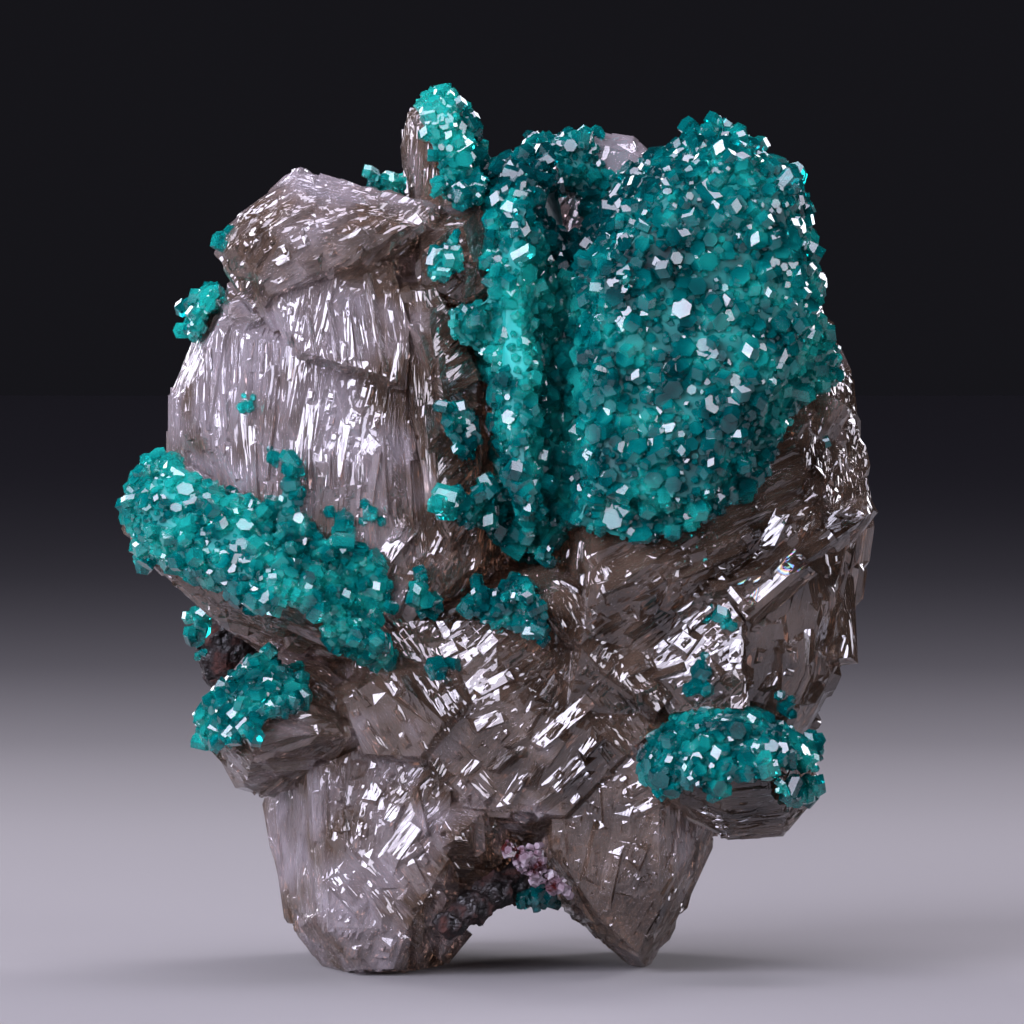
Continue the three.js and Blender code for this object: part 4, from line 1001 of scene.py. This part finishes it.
def lone_crystals(node, body_tree, material):
    """A small knot of crystals on the cerussite, with one larger than the others."""
    low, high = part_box(node)
    size = (high - low).length / 2
    seat, normal, _, _ = body_tree.find_nearest((low + high) / 2)
    side = normal.orthogonal()
    solids, middles, reaches = [], [], []
    for index in range(int(rng.integers(*LONE_COUNT))):
        radius = size * (LONE_RADIUS if index == 0 else rng.uniform(*LONE_RADII))
        aside = Matrix.Rotation(rng.random() * 6.3, 3, normal) @ side
        place = seat + aside * size * (0 if index == 0 else rng.uniform(*LONE_ASIDE))
        outward = np.array(normal) + rng.normal(0, LONE_LEAN, 3)
        outward /= np.linalg.norm(outward)
        length = radius * rng.uniform(*LONE_LENGTHS)
        solids.append(stood(crystal(radius, length, radius * LONE_ROOT), place, outward,
                            rng.random() * 2))
        middles.append(solids[-1].mean(0))
        reaches.append(max(np.linalg.norm(solids[-1] - middles[-1], axis=1)))
    name = node.replace("dioptase_crystal", "lone_crystals")
    piece = fused_crystals(name, solids, middles, reaches)
    set_tone(piece, GREENNESS, "greenness")
    hand_over(piece, node, [material])


def rough_rock(node, material):
    """A lump of gossan from its solid, with its surface broken up into grains."""
    points, triangles = node_shape(node)
    piece = mesh_object(node + "_rock", points, triangles.tolist())
    remesh = piece.modifiers.new("remesh", "REMESH")
    remesh.mode = "VOXEL"
    remesh.voxel_size = ROCK_VOXEL * MM
    for size, strength in ROCK_GRAINS:
        grains = bpy.data.textures.new("grains", "VORONOI")
        grains.noise_scale = size * MM
        push = piece.modifiers.new("grains", "DISPLACE")
        push.texture = grains
        push.texture_coords = "LOCAL"
        push.strength = -strength * MM
        push.mid_level = GRAIN_MIDDLE
    apply_modifiers(piece)
    hand_over(piece, node, [material])


def studio_paper_painted_falloff():
    """Uncoated paper, painted darker far from the middle as painted shade for the light falling off
    there, so that the crystals have something dark to mirror.
    """
    made = bpy.data.materials.new("studio paper")
    made.use_nodes = True
    tree = made.node_tree
    place = add_node(tree, "ShaderNodeTexCoord").outputs["Object"]
    away = add_node(tree, "ShaderNodeVectorMath", {0: place}, operation="LENGTH")
    shade = add_node(tree, "ShaderNodeMapRange",
                     {"Value": away.outputs["Value"], "From Min": PAPER_PAINTED_FALLOFF[0],
                      "From Max": PAPER_PAINTED_FALLOFF[1], "To Min": 0.0, "To Max": 1.0},
                     interpolation_type="SMOOTHSTEP")
    # Painted shade: the paper darkens away from the middle, standing in for the light falling off.
    falloff_shade = add_node(tree, "ShaderNodeMix",
                    {"Factor": shade.outputs["Result"], "A": linear("#838180"),
                     "B": linear("#211f27")}, data_type="RGBA")
    surface = tree.nodes["Principled BSDF"]
    surface.inputs["Roughness"].default_value = 0.9
    tree.links.new(falloff_shade.outputs["Result"], surface.inputs["Base Color"])
    return made


def studio_floor():
    """A pale floor that curves up far away on every side."""
    points = [(0.0, 0.0, -FLOOR_DROP)]
    for radius, height in FLOOR_PROFILE[1:]:
        for step in range(FLOOR_TURNS):
            angle = step * 2 * math.pi / FLOOR_TURNS
            points.append((radius * math.cos(angle), radius * math.sin(angle), height - FLOOR_DROP))
    faces = [(0, 1 + i, 1 + (i + 1) % FLOOR_TURNS) for i in range(FLOOR_TURNS)]
    for ring in range(len(FLOOR_PROFILE) - 2):
        inner, outer = 1 + ring * FLOOR_TURNS, 1 + (ring + 1) * FLOOR_TURNS
        for i in range(FLOOR_TURNS):
            j = (i + 1) % FLOOR_TURNS
            faces.append((inner + i, outer + i, outer + j, inner + j))
    floor = mesh_object("studio_floor", points, faces)
    for polygon in floor.data.polygons:
        polygon.use_smooth = True
    floor.data.materials.append(studio_paper_painted_falloff())


def soft_light(name, place, size, radiance, colour):
    """A soft box that faces the specimen. Its power follows from how bright its front is."""
    light = bpy.data.lights.new(name, "AREA")
    light.shape = "RECTANGLE"
    light.size, light.size_y = size[0] * MM, size[1] * MM
    light.energy = radiance * math.pi * light.size * light.size_y
    light.color = linear(colour)[:3]
    made = bpy.data.objects.new(name, light)
    bpy.context.scene.collection.objects.link(made)
    made.location = Vector(place) * MM
    aim = Vector((0, 0, SOFT_BOX_AIM * MM)) - made.location
    made.rotation_euler = aim.to_track_quat("-Z", "Y").to_euler()
    made.visible_camera = False


def studio():
    """The floor, a dim grey-violet room, the soft boxes and the camera."""
    studio_floor()
    scene = bpy.context.scene
    scene.world = bpy.data.worlds.new("studio")
    scene.world.use_nodes = True
    room = scene.world.node_tree.nodes["Background"]
    room.inputs["Color"].default_value = linear(ROOM_COLOUR)
    room.inputs["Strength"].default_value = ROOM_STRENGTH
    for soft_box in SOFT_BOXES:
        soft_light(*soft_box)
    camera = bpy.data.cameras.new("camera")
    camera.lens = CAMERA_LENS
    camera.sensor_width = SENSOR
    camera.clip_start, camera.clip_end = 0.01, 10
    made = bpy.data.objects.new("camera", camera)
    scene.collection.objects.link(made)
    made.location = (CAMERA_AIM[0], -CAMERA_DISTANCE, CAMERA_AIM[2])
    made.rotation_euler = (math.pi / 2, 0, 0)
    scene.camera = made
    scene.view_settings.view_transform = "Standard"
    scene.cycles.max_bounces = LIGHT_BOUNCES
    scene.cycles.transmission_bounces = LIGHT_BOUNCES
    scene.cycles.use_light_tree = False  # six soft boxes are quicker without it


def specimen():
    """All pieces of the specimen, from the cerussite outward."""
    lone = [node for node in sorted(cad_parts) if node.startswith("dioptase_crystal_")]
    crusts = [node for node in sorted(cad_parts)
              if node.startswith("dioptase_") and node not in lone]
    smoky = cerussite("cerussite, smoky, as grown")
    cracked = cerussite("cerussite over a crack", CRACK_WIDTHS)
    cerussite_blades((smoky, cracked), search_tree(crusts))
    body_tree = search_tree(["cerussite_cluster"])
    rock_tree = search_tree(["cerussite_cluster", "gossan_left", "gossan_base"])
    green, roots, rock = dioptase(), dioptase_root_painted_shade(), gossan()
    for node in crusts:
        crust(node, rock_tree, (green, roots))
    for node in lone:
        lone_crystals(node, body_tree, green)
    for node in ("gossan_left", "gossan_base"):
        rough_rock(node, rock)
    crust("calcite_hollow", rock_tree, (calcite(), rock))


studio()
specimen()
